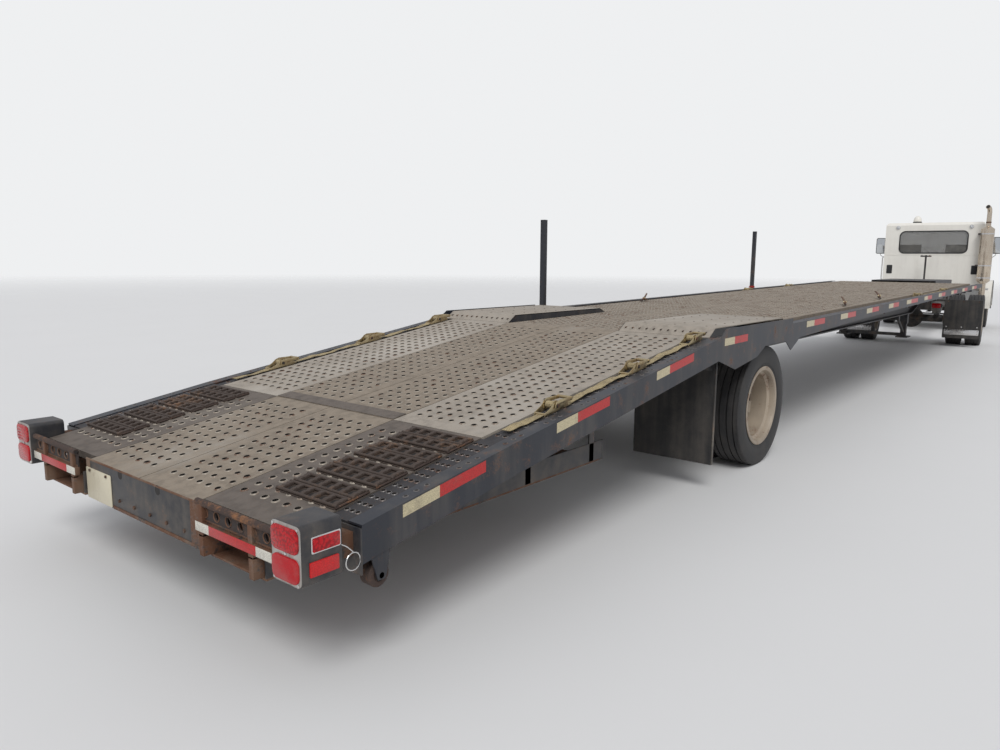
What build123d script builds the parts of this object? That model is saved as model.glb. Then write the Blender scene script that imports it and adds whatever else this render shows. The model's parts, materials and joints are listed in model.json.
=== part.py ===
from build123d import *
from math import cos, radians, sin, tan
import os

# A low single-axle car trailer hitched to a two-axle day-cab tractor, standing parked with the tractor
# turned a little to the left. Sizes are in millimetres. Each half is modelled in its own frame, x forward,
# y left and z up from the ground: the trailer from the rear face of its lamp boxes, the tractor from the
# kingpin.

# Trailer deck in side view
deck_half = 1295.0
tail_x = 270.0
tail_z = 620.0
fold_1_x = 1140.0
fold_1_z = 758.0
fold_2_x = 3310.0
fold_2_z = 1066.0
deck_front_x = 14600.0
deck_front_z = 1205.0
nose_front_x = 16250.0
kingpin_x = 15700.0
hitch_angle = 5.5

# Deck planks and side rails
sheet = 5.0
plank_depth = 40.0
plank_gap = 6.0
centre_plank_half = 505.0
rail_top_width = 78.0
groove_width = 111.0
groove_depth = 35.0
rail_flange = 40.0
rail_web = 8.0
tail_rail_depth = 150.0
front_rail_depth = 60.0
arch_rise = 45.0

# Trailer frame
beam_y = 450.0
beam_web = 12.0
beam_flange = 140.0
beam_flange_thick = 14.0
beam_low_z = 700.0
cross_pitch = 610.0
cross_width = 50.0
cross_depth = 70.0
coupler_z = 1120.0
nose_top_z = 1240.0
nose_half = 550.0
nose_plate = 12.0
kingpin_r = 25.4
kingpin_collar_r = 35.5
kingpin_length = 84.0

# Rear end
lamp_box_depth = 185.0
lamp_box_width = 175.0
lamp_box_low = 458.0
lamp_box_high = 679.0
rear_member_z = 500.0
ramp_width = 380.0
ramp_depth = 90.0
ramp_length = 2100.0
ramp_inner = 600.0
ramp_z = 470.0
ramp_travel = 1700.0
roller_r = 50.0
roller_width = 60.0
roller_x = 90.0
roller_z = 400.0
roller_pin_r = 12.0
roller_play = 6.0

# Wheels and tyres
bead_r = 286.0
ring_sides = 36
trailer_axle_x = 4310.0
trailer_tyre_r = 465.0
trailer_tyre_width = 255.0
trailer_tyre_face = 1240.0
drive_axle_x = -50.0
drive_tyre_r = 485.0
drive_tyre_width = 265.0
drive_tyre_face = 1215.0
dual_pitch = 325.0
steer_axle_x = 5050.0
steer_tyre_r = 490.0
steer_tyre_width = 275.0
steer_track_half = 1020.0
steer_pivot_y = 800.0
steer_arm = 200.0
steer_limit = 35.0

# Tractor frame and coupling
chassis_y = 385.0
chassis_flange = 80.0
chassis_wall = 8.0
chassis_low_z = 660.0
chassis_high_z = 900.0
chassis_rear_x = -1000.0
chassis_front_x = 5850.0
seat_gap = 0.3

# Cab
cab_half = 1000.0
cab_back_x = 3000.0
cab_front_x = 4330.0
cab_floor_z = 1000.0
cab_belt_z = 1720.0
cab_roof_z = 2500.0
cab_wall = 45.0
roof_front_x = 3930.0
screen_top_x = 4020.0
screen_top_z = 2420.0
door_gap = 6.0
door_rear_x = 3270.0
door_front_x = 4230.0
door_low_z = 1050.0
door_high_z = 2370.0
glass = 6.0
hinge_out = 16.0
hinge_pin_r = 8.0

# Hood and bumper
hood_half = 640.0
hood_front_x = 5890.0
hood_rear_z = 1690.0
hood_front_z = 1480.0
hood_wall = 25.0
fender_half = 1210.0
arch_r = 650.0
hood_hinge_x = 5925.0
hood_hinge_z = 730.0
hood_ear_y = 400.0
hood_ear_width = 30.0
hood_pin_r = 12.0
bumper_front_x = 6060.0
bumper_half = 1200.0
tow_eye_x = 5980.0
tow_eye_z = 385.0
tow_eye_r = 19.0
tow_eye_width = 60.0

hinge_run = 0.3
hub_stick_out = 80.0
spindle_r = 45.0

groove_outer = deck_half - rail_top_width
groove_inner = groove_outer - groove_width
lamp_box_inner = deck_half - lamp_box_width
deck_line = [(tail_x, tail_z), (fold_1_x, fold_1_z), (fold_2_x, fold_2_z), (deck_front_x, deck_front_z)]


def height_at(line, x):
    """Height of a line of (x, z) points over x."""
    for (x_0, z_0), (x_1, z_1) in zip(line, line[1:]):
        if x <= x_1:
            return z_0 + (z_1 - z_0) * (x - x_0) / (x_1 - x_0)
    return line[-1][1]


def deck_z(x):
    """Height of the deck's top over x."""
    return height_at(deck_line, x)


def deck_run(x_0, x_1, drop=0.0):
    """The deck's top line between two stations, lowered by drop."""
    inner = [(x, z) for x, z in deck_line if x_0 < x < x_1]
    stations = [(x_0, deck_z(x_0))] + inner + [(x_1, deck_z(x_1))]
    return [(x, z - drop) for x, z in stations]


def plate(outline, y_0, y_1, mode=Mode.ADD):
    """Extrude a side outline of (x, z) points across the vehicle between two y values."""
    with BuildSketch(Plane.XZ.offset(-max(y_0, y_1))) as face:
        with BuildLine():
            Polyline(*outline, close=True)
        make_face()
    extrude(face.sketch, amount=abs(y_1 - y_0), mode=mode)


def band(top, depth, y_0, y_1, mode=Mode.ADD):
    """A strip that follows a line of (x, z) points and is depth deep below it."""
    plate(top + [(x, z - depth) for x, z in reversed(top)], y_0, y_1, mode)


def block(x, y, z, mode=Mode.ADD):
    """A box between pairs of x, y and z values."""
    centre = ((x[0] + x[1]) / 2, (y[0] + y[1]) / 2, (z[0] + z[1]) / 2)
    with Locations(centre):
        Box(abs(x[1] - x[0]), abs(y[1] - y[0]), abs(z[1] - z[0]), mode=mode)


def rod(start, end, radius, mode=Mode.ADD):
    """A round bar between two points."""
    run = Vector(*end) - Vector(*start)
    with BuildSketch(Plane(origin=start, z_dir=run)) as section:
        Circle(radius)
    extrude(section.sketch, amount=run.length, mode=mode)


def turned(outline, x, z, mode=Mode.ADD):
    """A ring of flat facets: a (y, radius) outline carried about the crosswise axis through x and z."""
    half = radians(180 / ring_sides)
    reach = 1.2 * max(radius for _, radius in outline) * tan(half)
    with BuildSketch(Plane.YZ.offset(x)) as section:
        with BuildLine():
            Polyline(*[(y, z + radius) for y, radius in outline], close=True)
        make_face()
    wedge = extrude(section.sketch, amount=reach, both=True, mode=Mode.PRIVATE)
    for side in (1, -1):
        cut = Plane(origin=(x, 0, z), z_dir=(side * cos(half), 0, -sin(half)))
        wedge = split(wedge, bisect_by=cut, keep=Keep.BOTTOM, mode=Mode.PRIVATE)
    axle = Axis((x, 0, z), (0, 1, 0))
    add([wedge.rotate(axle, 360 / ring_sides * i) for i in range(ring_sides)], mode=mode)


def both_sides():
    """Add the mirror image of all that the piece holds so far."""
    mirror(about=Plane.XZ)


def tyre_outline(centre_y, width, radius):
    """Half section of a tyre as (y, radius) points, bead to bead over the crown."""
    half = [(0.40, bead_r), (0.50, (bead_r + radius) / 2), (0.46, radius - 25), (0.36, radius)]
    right = [(centre_y - share * width, r) for share, r in half]
    left = [(centre_y + share * width, r) for share, r in reversed(half)]
    return right + left


def at_tractor(x, y, z=0.0):
    """A point of the tractor's frame in the trailer's frame."""
    a = radians(hitch_angle)
    return (kingpin_x + x * cos(a) - y * sin(a), x * sin(a) + y * cos(a), z)


# The model's origin is on the ground under the middle of the whole vehicle's box.
front_corner = at_tractor(bumper_front_x, bumper_half)
front_right = at_tractor(bumper_front_x, -bumper_half)
middle_x = front_right[0] / 2
middle_y = (front_corner[1] - deck_half) / 2
trailer_place = Location((-middle_x, -middle_y, 0))
tractor_place = trailer_place * Location((kingpin_x, 0, 0), (0, 0, hitch_angle))


def keep(part, name, place):
    """Name a finished piece and write it where its half of the vehicle stands."""
    part.label = name
    placed = part.moved(place)
    placed.label = name
    export_step(placed, f"parts/{name}.step")


def keep_pair(part, name, place):
    """Write a left piece and its mirror image, the right one."""
    keep(part, f"{name}_left", place)
    keep(mirror(part, about=Plane.XZ), f"{name}_right", place)


os.makedirs("parts", exist_ok=True)

# Trailer: main beams, crossmembers, nose and kingpin
neck_x = 13000.0
neck_top_x = 13900.0
over_beam = deck_run(tail_x + 60, neck_top_x, plank_depth + cross_depth + seat_gap)
beam_top = over_beam + deck_run(neck_top_x, deck_front_x, plank_depth + seat_gap)
beam_bottom = [
    (tail_x + 60, tail_z - 230),
    (fold_1_x, fold_1_z - 230),
    (fold_2_x, beam_low_z),
    (neck_x, beam_low_z + 20),
    (deck_front_x, coupler_z),
    (nose_front_x, coupler_z),
]
cover_run = (fold_2_x + 20, 4790.0)
rail_depth = [
    (tail_x, tail_rail_depth),
    (fold_2_x, tail_rail_depth),
    (4900.0, 128.0),
    (6900.0, 100.0),
    (deck_front_x, front_rail_depth),
]
cross_count = int((neck_top_x - tail_x - 120 - cross_width) / cross_pitch) + 1
cross_stations = [tail_x + 120 + cross_pitch * i for i in range(cross_count)]

with BuildPart() as trailer_frame:
    nose_top = [(deck_front_x, nose_top_z), (nose_front_x, nose_top_z)]
    web = beam_top + nose_top + list(reversed(beam_bottom))
    plate(web, beam_y - beam_web / 2, beam_y + beam_web / 2)
    band(over_beam, beam_flange_thick, beam_y - beam_flange / 2, beam_y + beam_flange / 2)
    low = [(x, z + beam_flange_thick) for x, z in beam_bottom]
    band(low, beam_flange_thick, beam_y - beam_flange / 2, beam_y + beam_flange / 2)
    both_sides()
    block((deck_front_x, nose_front_x), (-nose_half, nose_half), (nose_top_z - nose_plate, nose_top_z))
    block((deck_front_x + 300, nose_front_x), (-nose_half, nose_half), (coupler_z, coupler_z + nose_plate))
    for y in (-nose_half, nose_half - nose_plate):
        block((deck_front_x, nose_front_x), (y, y + nose_plate), (coupler_z, nose_top_z))
    block((nose_front_x - nose_plate, nose_front_x), (-nose_half, nose_half), (coupler_z, nose_top_z))
    rod((kingpin_x, 0, coupler_z), (kingpin_x, 0, coupler_z - kingpin_length), kingpin_r)
    rod((kingpin_x, 0, coupler_z - kingpin_length + 20), (kingpin_x, 0, coupler_z - kingpin_length), kingpin_collar_r)
keep(trailer_frame.part, "trailer_frame", trailer_place)

# Crossmembers over the beams, each as long as what it meets lets it be
with BuildPart() as crossmembers:
    for x in cross_stations:
        reach = deck_half - rail_web
        if height_at(rail_depth, x + cross_width) < plank_depth + cross_depth + rail_web + sheet:
            reach -= rail_flange
        if cover_run[0] - cross_width - plank_gap < x < cover_run[1] + plank_gap:
            reach = beam_y
        band(deck_run(x, x + cross_width, plank_depth), cross_depth, -reach, reach)
keep(crossmembers.part, "crossmembers", trailer_place)

# Trailer: side rails with the raised plate over the wheel
rail_stations = [tail_x, fold_1_x, fold_2_x, 4900.0, 6900.0, deck_front_x]
rail_bottom = [(x, deck_z(x) - height_at(rail_depth, x)) for x in rail_stations]
arch_top = deck_z(trailer_axle_x) + arch_rise
arch_upper = [(fold_2_x + 20, deck_z(fold_2_x + 20)), (fold_2_x + 110, arch_top), (4710.0, arch_top), (4712.0, deck_z(4712.0))]
arch_lower = [
    (4700.0, 871.0),
    (4570.0, 953.0),
    (4145.0, 953.0),
    (3980.0, 882.0),
    (3590.0, 832.0),
]
with BuildPart() as side_rails:
    outer = (deck_half - rail_web, deck_half)
    flange = (groove_outer, deck_half - rail_web)
    low_flange = (deck_half - rail_web - rail_flange, deck_half - rail_web)
    upper = deck_run(tail_x, fold_2_x) + arch_upper + [(deck_front_x, deck_front_z)]
    lower = list(reversed(rail_bottom[3:])) + arch_lower + list(reversed(rail_bottom[:3]))
    plate(upper + lower, *outer)
    band(deck_run(tail_x, deck_front_x), rail_web, *flange)
    rear_low = [(x, z + rail_web) for x, z in rail_bottom[:3]]
    front_low = [(x, z + rail_web) for x, z in rail_bottom[3:]]
    band(rear_low, rail_web, *low_flange)
    band(front_low, rail_web, *low_flange)
    x = tail_x + roller_x
    ear_top = [(x - 45, height_at(rail_bottom, x - 45)), (x + 45, height_at(rail_bottom, x + 45))]
    ear = ear_top + [(x + 35, roller_z - 30), (x - 35, roller_z - 30)]
    ear_y = deck_half - 2 * rail_web - 2 * roller_play - roller_width
    plate(ear, deck_half - rail_web, deck_half)
    plate(ear, ear_y, ear_y + rail_web)
    band(ear_top, rail_web, ear_y, deck_half)
    rod((x, ear_y, roller_z), (x, deck_half, roller_z), roller_pin_r)
    both_sides()
keep(side_rails.part, "side_rails", trailer_place)

# Deck planks: inner and outer edge of each, across the deck
plank_rows = [
    (plank_gap / 2, centre_plank_half),
    (centre_plank_half + plank_gap, groove_inner),
]


def plank(x_0, x_1, y_0, y_1):
    """An open channel plank under the deck's top line."""
    band(deck_run(x_0, x_1), sheet, y_0, y_1)
    band(deck_run(x_0, x_1), plank_depth, y_0, y_0 + sheet)
    band(deck_run(x_0, x_1), plank_depth, y_1 - sheet, y_1)


with BuildPart() as tail_deck:
    for y_0, y_1 in plank_rows:
        plank(tail_x, fold_1_x - plank_gap, y_0, y_1)
    both_sides()
keep(tail_deck.part, "tail_deck", trailer_place)

with BuildPart() as main_deck:
    (inner_0, inner_1), (outer_0, outer_1) = plank_rows
    plank(fold_1_x, deck_front_x, inner_0, inner_1)
    plank(fold_1_x, cover_run[0], outer_0, outer_1)
    plank(cover_run[1], deck_front_x, outer_0, outer_1)
    both_sides()
keep(main_deck.part, "main_deck", trailer_place)

# Strap grooves beside the rails
with BuildPart() as strap_grooves:
    for x_0, x_1 in ((tail_x, cover_run[0]), (cover_run[1], deck_front_x)):
        band(deck_run(x_0, x_1, groove_depth), sheet, groove_inner + plank_gap, groove_outer - plank_gap)
    both_sides()
keep(strap_grooves.part, "strap_grooves", trailer_place)

# Raised covers over the trailer wheels
with BuildPart() as wheel_covers:
    x_0, x_1 = cover_run
    ridge = [
        (x_0 + seat_gap, deck_z(x_0)),
        (x_0 + 90, arch_top),
        (x_1 - 90, arch_top),
        (x_1 - seat_gap, deck_z(x_1)),
    ]
    band(ridge, sheet, outer_0, groove_outer - plank_gap)
    skirt = deck_run(x_0 + seat_gap, x_1 - seat_gap, plank_depth)
    plate(ridge + list(reversed(skirt)), outer_0, outer_0 + sheet)
    both_sides()
keep(wheel_covers.part, "wheel_covers", trailer_place)

# Trailer axle on two leaf springs
spring_half = 480.0
spring_width = 76.0
trailer_hub_y = trailer_tyre_face - dual_pitch - trailer_tyre_width - hub_stick_out
with BuildPart() as trailer_axle:
    z = trailer_tyre_r
    rod((trailer_axle_x, -trailer_hub_y + 10, z), (trailer_axle_x, trailer_hub_y - 10, z), 63.5)
    rod((trailer_axle_x, -trailer_hub_y - 70, z), (trailer_axle_x, trailer_hub_y + 70, z), spindle_r)
    for y in (-beam_y, beam_y):
        side = (y - spring_width / 2, y + spring_width / 2)
        arc = [
            (trailer_axle_x - spring_half, z + 150),
            (trailer_axle_x - 200, z + 95),
            (trailer_axle_x + 200, z + 95),
            (trailer_axle_x + spring_half, z + 150),
        ]
        band(arc, 40, *side)
        block((trailer_axle_x - 70, trailer_axle_x + 70), side, (z, z + 60))
        for x in (trailer_axle_x - spring_half, trailer_axle_x + spring_half - 70):
            block((x, x + 70), side, (z + 110, height_at(beam_bottom, x)))
keep(trailer_axle.part, "trailer_axle", trailer_place)


def tyres(centres, width, radius, x):
    """Tyres side by side about one crosswise axis."""
    with BuildPart() as one:
        turned(tyre_outline(0, width, radius), x, radius)
    with BuildPart() as row:
        add([one.part.moved(Location((0, y, 0))) for y in centres])
    return row.part


def rims(centres, discs, inner_y, outer_y, x, z, width):
    """Rims side by side on a hub that is open at its inner end for the spindle."""
    share = [(0.44, 14), (0.46, 14), (0.42, -14)]
    left = [(-a * width, bead_r + b) for a, b in share]
    right = [(a * width, bead_r + b) for a, b in reversed(share)]
    with BuildPart() as barrel:
        turned([(-0.40 * width, bead_r)] + left + right + [(0.40 * width, bead_r)], x, z)
    reach = abs(discs[0][1] - discs[0][0])
    with BuildPart() as disc:
        face = [(0, 90), (0, 210), (reach, bead_r - 10)]
        back = [(reach + 20, bead_r - 10), (14, 200), (14, 90)]
        turned(face + back, x, z)
    with BuildPart() as wheel:
        add([barrel.part.moved(Location((0, y, 0))) for y in centres])
        for face_y, rim_y in discs:
            one = disc.part if rim_y > face_y else mirror(disc.part, about=Plane.XZ, mode=Mode.PRIVATE)
            add(one.moved(Location((0, face_y, 0))))
        rod((x, inner_y, z), (x, outer_y, z), 105)
        rod((x, inner_y, z), (x, inner_y + 80, z), spindle_r + hinge_run, mode=Mode.SUBTRACT)
    return wheel.part


def dual_discs(mid_y, width):
    """Mounting face and rim edge of each disc of a pair whose faces meet at mid_y."""
    edge = dual_pitch / 2 - 0.42 * width
    return ((mid_y - 1, mid_y - edge), (mid_y + 1, mid_y + edge))


trailer_outer_y = trailer_tyre_face - trailer_tyre_width / 2
trailer_centres = (trailer_outer_y, trailer_outer_y - dual_pitch)
trailer_mid = trailer_outer_y - dual_pitch / 2
keep_pair(tyres(trailer_centres, trailer_tyre_width, trailer_tyre_r, trailer_axle_x), "trailer_tyres", trailer_place)
keep_pair(
    rims(
        trailer_centres,
        dual_discs(trailer_mid, trailer_tyre_width),
        trailer_hub_y,
        trailer_mid + 110,
        trailer_axle_x,
        trailer_tyre_r,
        trailer_tyre_width,
    ),
    "trailer_rims",
    trailer_place,
)

# Mudflaps behind the trailer wheels
flap_x = 3360.0
with BuildPart() as trailer_flaps:
    flap_outer = deck_half - 45
    block((flap_x, flap_x + 10), (flap_outer - 600, flap_outer), (190, 935))
    block((flap_x + 10, flap_x + 50), (beam_y + beam_web / 2, flap_outer), (900, 940))
    both_sides()
keep(trailer_flaps.part, "trailer_flaps", trailer_place)

# Rear member, lamp boxes and ramp channels
channel_wall = 10.0
ramp_play = 10.0
channel_floor_z = ramp_z - 70.0
channel_top_z = ramp_z + 40.0
channel_run = (30.0, tail_x + ramp_length)
with BuildPart() as rear_end:
    block((20, tail_x + 60), (-330, 330), (rear_member_z - 90, rear_member_z + 60))
    block((tail_x - 8, tail_x), (-deck_half, deck_half), (430, tail_z - 12))
    inner = ramp_inner - ramp_play
    outer = ramp_inner + ramp_width + ramp_play
    for side in (1, -1):
        mouth = (side * inner, side * outer)
        block((tail_x - 20, tail_x + 20), mouth, (channel_floor_z, channel_top_z + 20), mode=Mode.SUBTRACT)
    for side in (1, -1):
        walls = ((side * (inner - channel_wall), side * inner), (side * outer, side * (outer + channel_wall)))
        floor = (side * (inner - channel_wall), side * (outer + channel_wall))
        block(channel_run, floor, (channel_floor_z - channel_wall, channel_floor_z))
        for wall in walls:
            block(channel_run, wall, (channel_floor_z, channel_top_z))
            for x in cross_stations[:4]:
                top = deck_z(x) - plank_depth - cross_depth
                block((x, x + cross_width), wall, (channel_floor_z, top))
keep(rear_end.part, "rear_end", trailer_place)

with BuildPart() as lamp_boxes:
    block((0, lamp_box_depth), (lamp_box_inner, deck_half), (lamp_box_low, lamp_box_high))
    block((lamp_box_depth, tail_x - 8), (lamp_box_inner + 40, deck_half - 40), (lamp_box_low + 40, tail_z - 30))
    both_sides()
keep(lamp_boxes.part, "lamp_boxes", trailer_place)

ramp_low_z = channel_floor_z + seat_gap
with BuildPart() as ramp:
    y_0 = ramp_inner
    y_1 = ramp_inner + ramp_width
    for y in (y_0, y_1 - 30):
        block((10, tail_x + ramp_length - 60), (y, y + 30), (ramp_low_z, ramp_low_z + ramp_depth))
    rod((25, y_0 + 15, ramp_z + 10), (25, y_1 - 15, ramp_z + 10), 24)
    for i in range(8):
        x = 240 + 250 * i
        block((x, x + 30), (y_0, y_1), (ramp_low_z + 30, ramp_low_z + 60))
keep_pair(ramp.part, "ramp", trailer_place)

roller_inner = deck_half - rail_web - roller_play - roller_width
with BuildPart() as roller:
    y_0 = roller_inner
    axle = ((tail_x + roller_x, y_0, roller_z), (tail_x + roller_x, y_0 + roller_width, roller_z))
    rod(*axle, roller_r)
    rod(*axle, roller_pin_r + hinge_run, mode=Mode.SUBTRACT)
keep_pair(roller.part, "roller", trailer_place)

# Landing legs with a foot bar and braces
leg_x = 12700.0
leg_y = 470.0
foot_z = 330.0
leg_top = height_at(beam_bottom, leg_x - 60)
brace_x = leg_x - 500
with BuildPart() as landing_gear:
    for y in (-leg_y, leg_y):
        block((leg_x - 55, leg_x + 55), (y - 55, y + 55), (560, leg_top))
        block((leg_x - 42, leg_x + 42), (y - 42, y + 42), (foot_z + 20, 700))
        block((leg_x - 130, leg_x + 130), (y - 90, y + 90), (foot_z, foot_z + 20))
        rod((leg_x, y, foot_z + 60), (brace_x, y, leg_top - 40), 22)
        block((brace_x - 40, brace_x + 40), (y - 30, y + 30), (leg_top - 75, height_at(beam_bottom, brace_x - 40)))
    block((leg_x - 25, leg_x + 25), (-leg_y, leg_y), (foot_z + 20, foot_z + 70))
keep(landing_gear.part, "landing_gear", trailer_place)

# Stakes in the left rail
stake_stations = (4885.0, 10500.0)
with BuildPart() as stakes:
    for x in stake_stations:
        block((x - 25, x + 25), (deck_half, deck_half + 50), (deck_z(x) - 110, 1975 + deck_z(x) - deck_z(4885)))
keep(stakes.part, "stakes", trailer_place)

# Ratchets and tie-down straps along both grooves
ratchet_stations = (1500.0, 2300.0, 3050.0, 9800.0, 11600.0)
with BuildPart() as ratchets:
    for x in ratchet_stations:
        for y in (groove_inner + 18, groove_outer - 24):
            band(deck_run(x, x + 220, groove_depth - seat_gap - 70), 70, y, y + 6)
        for along, up, radius in ((40, 40, 22), (200, 50, 10)):
            z = deck_z(x + along) - groove_depth + up
            rod((x + along, groove_inner + 18, z), (x + along, groove_outer - 18, z), radius)
    both_sides()
keep(ratchets.part, "ratchets", trailer_place)

strap_thick = 3.0
with BuildPart() as straps:
    for x_0, x_1 in zip(ratchet_stations, ratchet_stations[1:]):
        if x_1 - x_0 < 2000:
            top = deck_run(x_0 + 220 + seat_gap, x_1 - seat_gap, groove_depth - seat_gap - strap_thick)
            band(top, strap_thick, groove_inner + 35, groove_outer - 35)
    both_sides()
keep(straps.part, "straps", trailer_place)

# Tractor frame
with BuildPart() as tractor_frame:
    x = (chassis_rear_x, chassis_front_x)
    web_y = (chassis_y, chassis_y + chassis_wall)
    flange_y = (chassis_y + chassis_wall - chassis_flange, chassis_y + chassis_wall)
    block(x, web_y, (chassis_low_z, chassis_high_z))
    block(x, flange_y, (chassis_low_z, chassis_low_z + chassis_wall))
    block(x, flange_y, (chassis_high_z - chassis_wall, chassis_high_z))
    for pad_x in (cab_back_x + 150, cab_front_x - 150):
        block((pad_x - 50, pad_x + 50), flange_y, (chassis_high_z, cab_floor_z))
    block((chassis_front_x, hood_hinge_x + 25), web_y, (hood_hinge_z - 30, hood_hinge_z + 30))
    rod((hood_hinge_x, chassis_y, hood_hinge_z), (hood_hinge_x, hood_ear_y + hood_ear_width, hood_hinge_z), hood_pin_r)
    both_sides()
    for station in (-990.0, -560.0, 480.0, 1500.0, 2600.0, 3600.0, 5780.0):
        block((station, station + 60), (-chassis_y, chassis_y), (chassis_low_z + 40, chassis_high_z - 40))
keep(tractor_frame.part, "tractor_frame", tractor_place)

# Fifth wheel: a plate with a throat open to the rear, on two brackets
throat = kingpin_collar_r + 6
plate_top = coupler_z - seat_gap
with BuildPart() as fifth_wheel:
    with BuildSketch(Plane.XY.offset(plate_top - 40)) as top_plate:
        with BuildLine():
            Polyline(
                (420, -300), (420, 300), (250, 440), (-250, 440), (-560, 200),
                (-160, throat), (0, throat), (0, -throat), (-160, -throat), (-560, -200), (-250, -440), (250, -440),
                close=True,
            )
        make_face()
        Circle(throat, mode=Mode.SUBTRACT)
    extrude(top_plate.sketch, amount=40)
    for y in (-chassis_y, chassis_y):
        block((-150, 150), (y - 30, y + 30), (chassis_high_z, plate_top - 40))
        block((-350, 350), (y - 45, y + 45), (chassis_high_z, chassis_high_z + 25))
keep(fifth_wheel.part, "fifth_wheel", tractor_place)

# Drive axle with its differential and springs
drive_hub_y = drive_tyre_face - dual_pitch - drive_tyre_width - hub_stick_out
with BuildPart() as drive_axle:
    z = drive_tyre_r
    rod((drive_axle_x, -drive_hub_y + 10, z), (drive_axle_x, drive_hub_y - 10, z), 75)
    rod((drive_axle_x, -drive_hub_y - 70, z), (drive_axle_x, drive_hub_y + 70, z), spindle_r)
    with Locations(Location((drive_axle_x + 30, 0, z), (0, 90, 0))):
        Cylinder(195, 170)
        with Locations((0, 0, 85)):
            Cone(150, 70, 200, align=(Align.CENTER, Align.CENTER, Align.MIN))
    for y in (-chassis_y - 52, chassis_y + 52):
        arc = [(drive_axle_x - 600, z + 200), (drive_axle_x - 200, z + 125), (drive_axle_x + 200, z + 125),
               (drive_axle_x + 600, z + 200)]
        band(arc, 55, y - 38, y + 38)
        side = 1 if y > 0 else -1
        seat = (side * (chassis_y + chassis_wall), y + side * 38)
        for x in (drive_axle_x - 600, drive_axle_x + 600):
            block((x - 35, x + 35), seat, (z + 140, z + 260))
        block((drive_axle_x - 80, drive_axle_x + 80), (y - 38, y + 38), (z, z + 90))
keep(drive_axle.part, "drive_axle", tractor_place)

drive_outer_y = drive_tyre_face - drive_tyre_width / 2
drive_centres = (drive_outer_y, drive_outer_y - dual_pitch)
drive_mid = drive_outer_y - dual_pitch / 2
keep_pair(tyres(drive_centres, drive_tyre_width, drive_tyre_r, drive_axle_x), "drive_tyres", tractor_place)
keep_pair(
    rims(
        drive_centres,
        dual_discs(drive_mid, drive_tyre_width),
        drive_hub_y,
        drive_mid + 140,
        drive_axle_x,
        drive_tyre_r,
        drive_tyre_width,
    ),
    "drive_rims",
    tractor_place,
)

# Flaps behind the drive wheels
drive_flap_x = -780.0
with BuildPart() as drive_flaps:
    block((drive_flap_x - 10, drive_flap_x), (drive_tyre_face - 615, drive_tyre_face), (170, 890))
    block((drive_flap_x, drive_flap_x + 35), (chassis_y + chassis_wall, drive_tyre_face), (850, 890))
    both_sides()
keep(drive_flaps.part, "drive_flaps", tractor_place)

# Front axle, knuckles and tie rod
pivot_pin_r = 28.0
eye_half = 45.0
yoke_gap = 5.0
yoke_thick = 45.0
beam_drop = 120.0
with BuildPart() as front_axle:
    z = steer_tyre_r
    y = steer_pivot_y
    block((steer_axle_x - 50, steer_axle_x + 50), (0, y - 60), (z - beam_drop, z - 20))
    block((steer_axle_x - 50, steer_axle_x + 50), (y - 110, y - 60), (z - beam_drop, z + eye_half))
    block((steer_axle_x - 45, steer_axle_x + 45), (y - 60, y), (z - eye_half, z + eye_half))
    rod((steer_axle_x, y, z - eye_half), (steer_axle_x, y, z + eye_half), 45)
    rod((steer_axle_x, y, z - beam_drop + 20), (steer_axle_x, y, z + 100), pivot_pin_r)
    arc = [
        (steer_axle_x - 650, z + 165),
        (steer_axle_x - 200, z + 40),
        (steer_axle_x + 200, z + 40),
        (steer_axle_x + 650, z + 165),
    ]
    band(arc, 60, chassis_y - 35, chassis_y + 35)
    for x in (steer_axle_x - 620, steer_axle_x + 620):
        block((x - 30, x + 30), (chassis_y - 35, chassis_y + 35), (z + 110, chassis_low_z))
    both_sides()
keep(front_axle.part, "front_axle", tractor_place)

yoke_low = eye_half + yoke_gap
yoke_high = yoke_low + yoke_thick
arm_thick = 25.0
arm_top = beam_drop + yoke_gap
tie_rod_y = steer_pivot_y
with BuildPart() as knuckle:
    z = steer_tyre_r
    y = steer_pivot_y
    for z_0, z_1 in ((z + yoke_low, z + yoke_high), (z - yoke_high, z - yoke_low)):
        rod((steer_axle_x, y, z_0), (steer_axle_x, y, z_1), 50)
        block((steer_axle_x - 45, steer_axle_x + 45), (y, y + 80), (z_0, z_1))
    block((steer_axle_x - 45, steer_axle_x + 45), (y + 55, y + 80), (z - arm_top - arm_thick, z + yoke_high))
    rod((steer_axle_x, y + 60, z), (steer_axle_x, y + 155, z), spindle_r)
    rod((steer_axle_x, y, z - yoke_high), (steer_axle_x, y, z + yoke_high), pivot_pin_r + hinge_run, mode=Mode.SUBTRACT)
    block((steer_axle_x - 45, steer_axle_x + 45), (y - 50, y + 80), (z - arm_top - arm_thick, z - arm_top))
    arm_y = (tie_rod_y - 25, tie_rod_y + 25)
    block((steer_axle_x - steer_arm - 30, steer_axle_x), arm_y, (z - arm_top - arm_thick, z - arm_top))
keep_pair(knuckle.part, "knuckle", tractor_place)

with BuildPart() as tie_rod:
    x = steer_axle_x - steer_arm
    z = steer_tyre_r - arm_top - arm_thick - hinge_run
    rod((x, -tie_rod_y, z - 40), (x, tie_rod_y, z - 40), 18)
    for y in (-tie_rod_y, tie_rod_y):
        rod((x, y, z - 62), (x, y, z), 24)
keep(tie_rod.part, "tie_rod", tractor_place)

keep_pair(tyres((steer_track_half,), steer_tyre_width, steer_tyre_r, steer_axle_x), "steer_tyre", tractor_place)
keep_pair(
    rims(
        (steer_track_half,),
        ((steer_track_half + 20, steer_track_half + 75),),
        steer_pivot_y + 85,
        steer_track_half + 110,
        steer_axle_x,
        steer_tyre_r,
        steer_tyre_width,
    ),
    "steer_rim",
    tractor_place,
)

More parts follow.
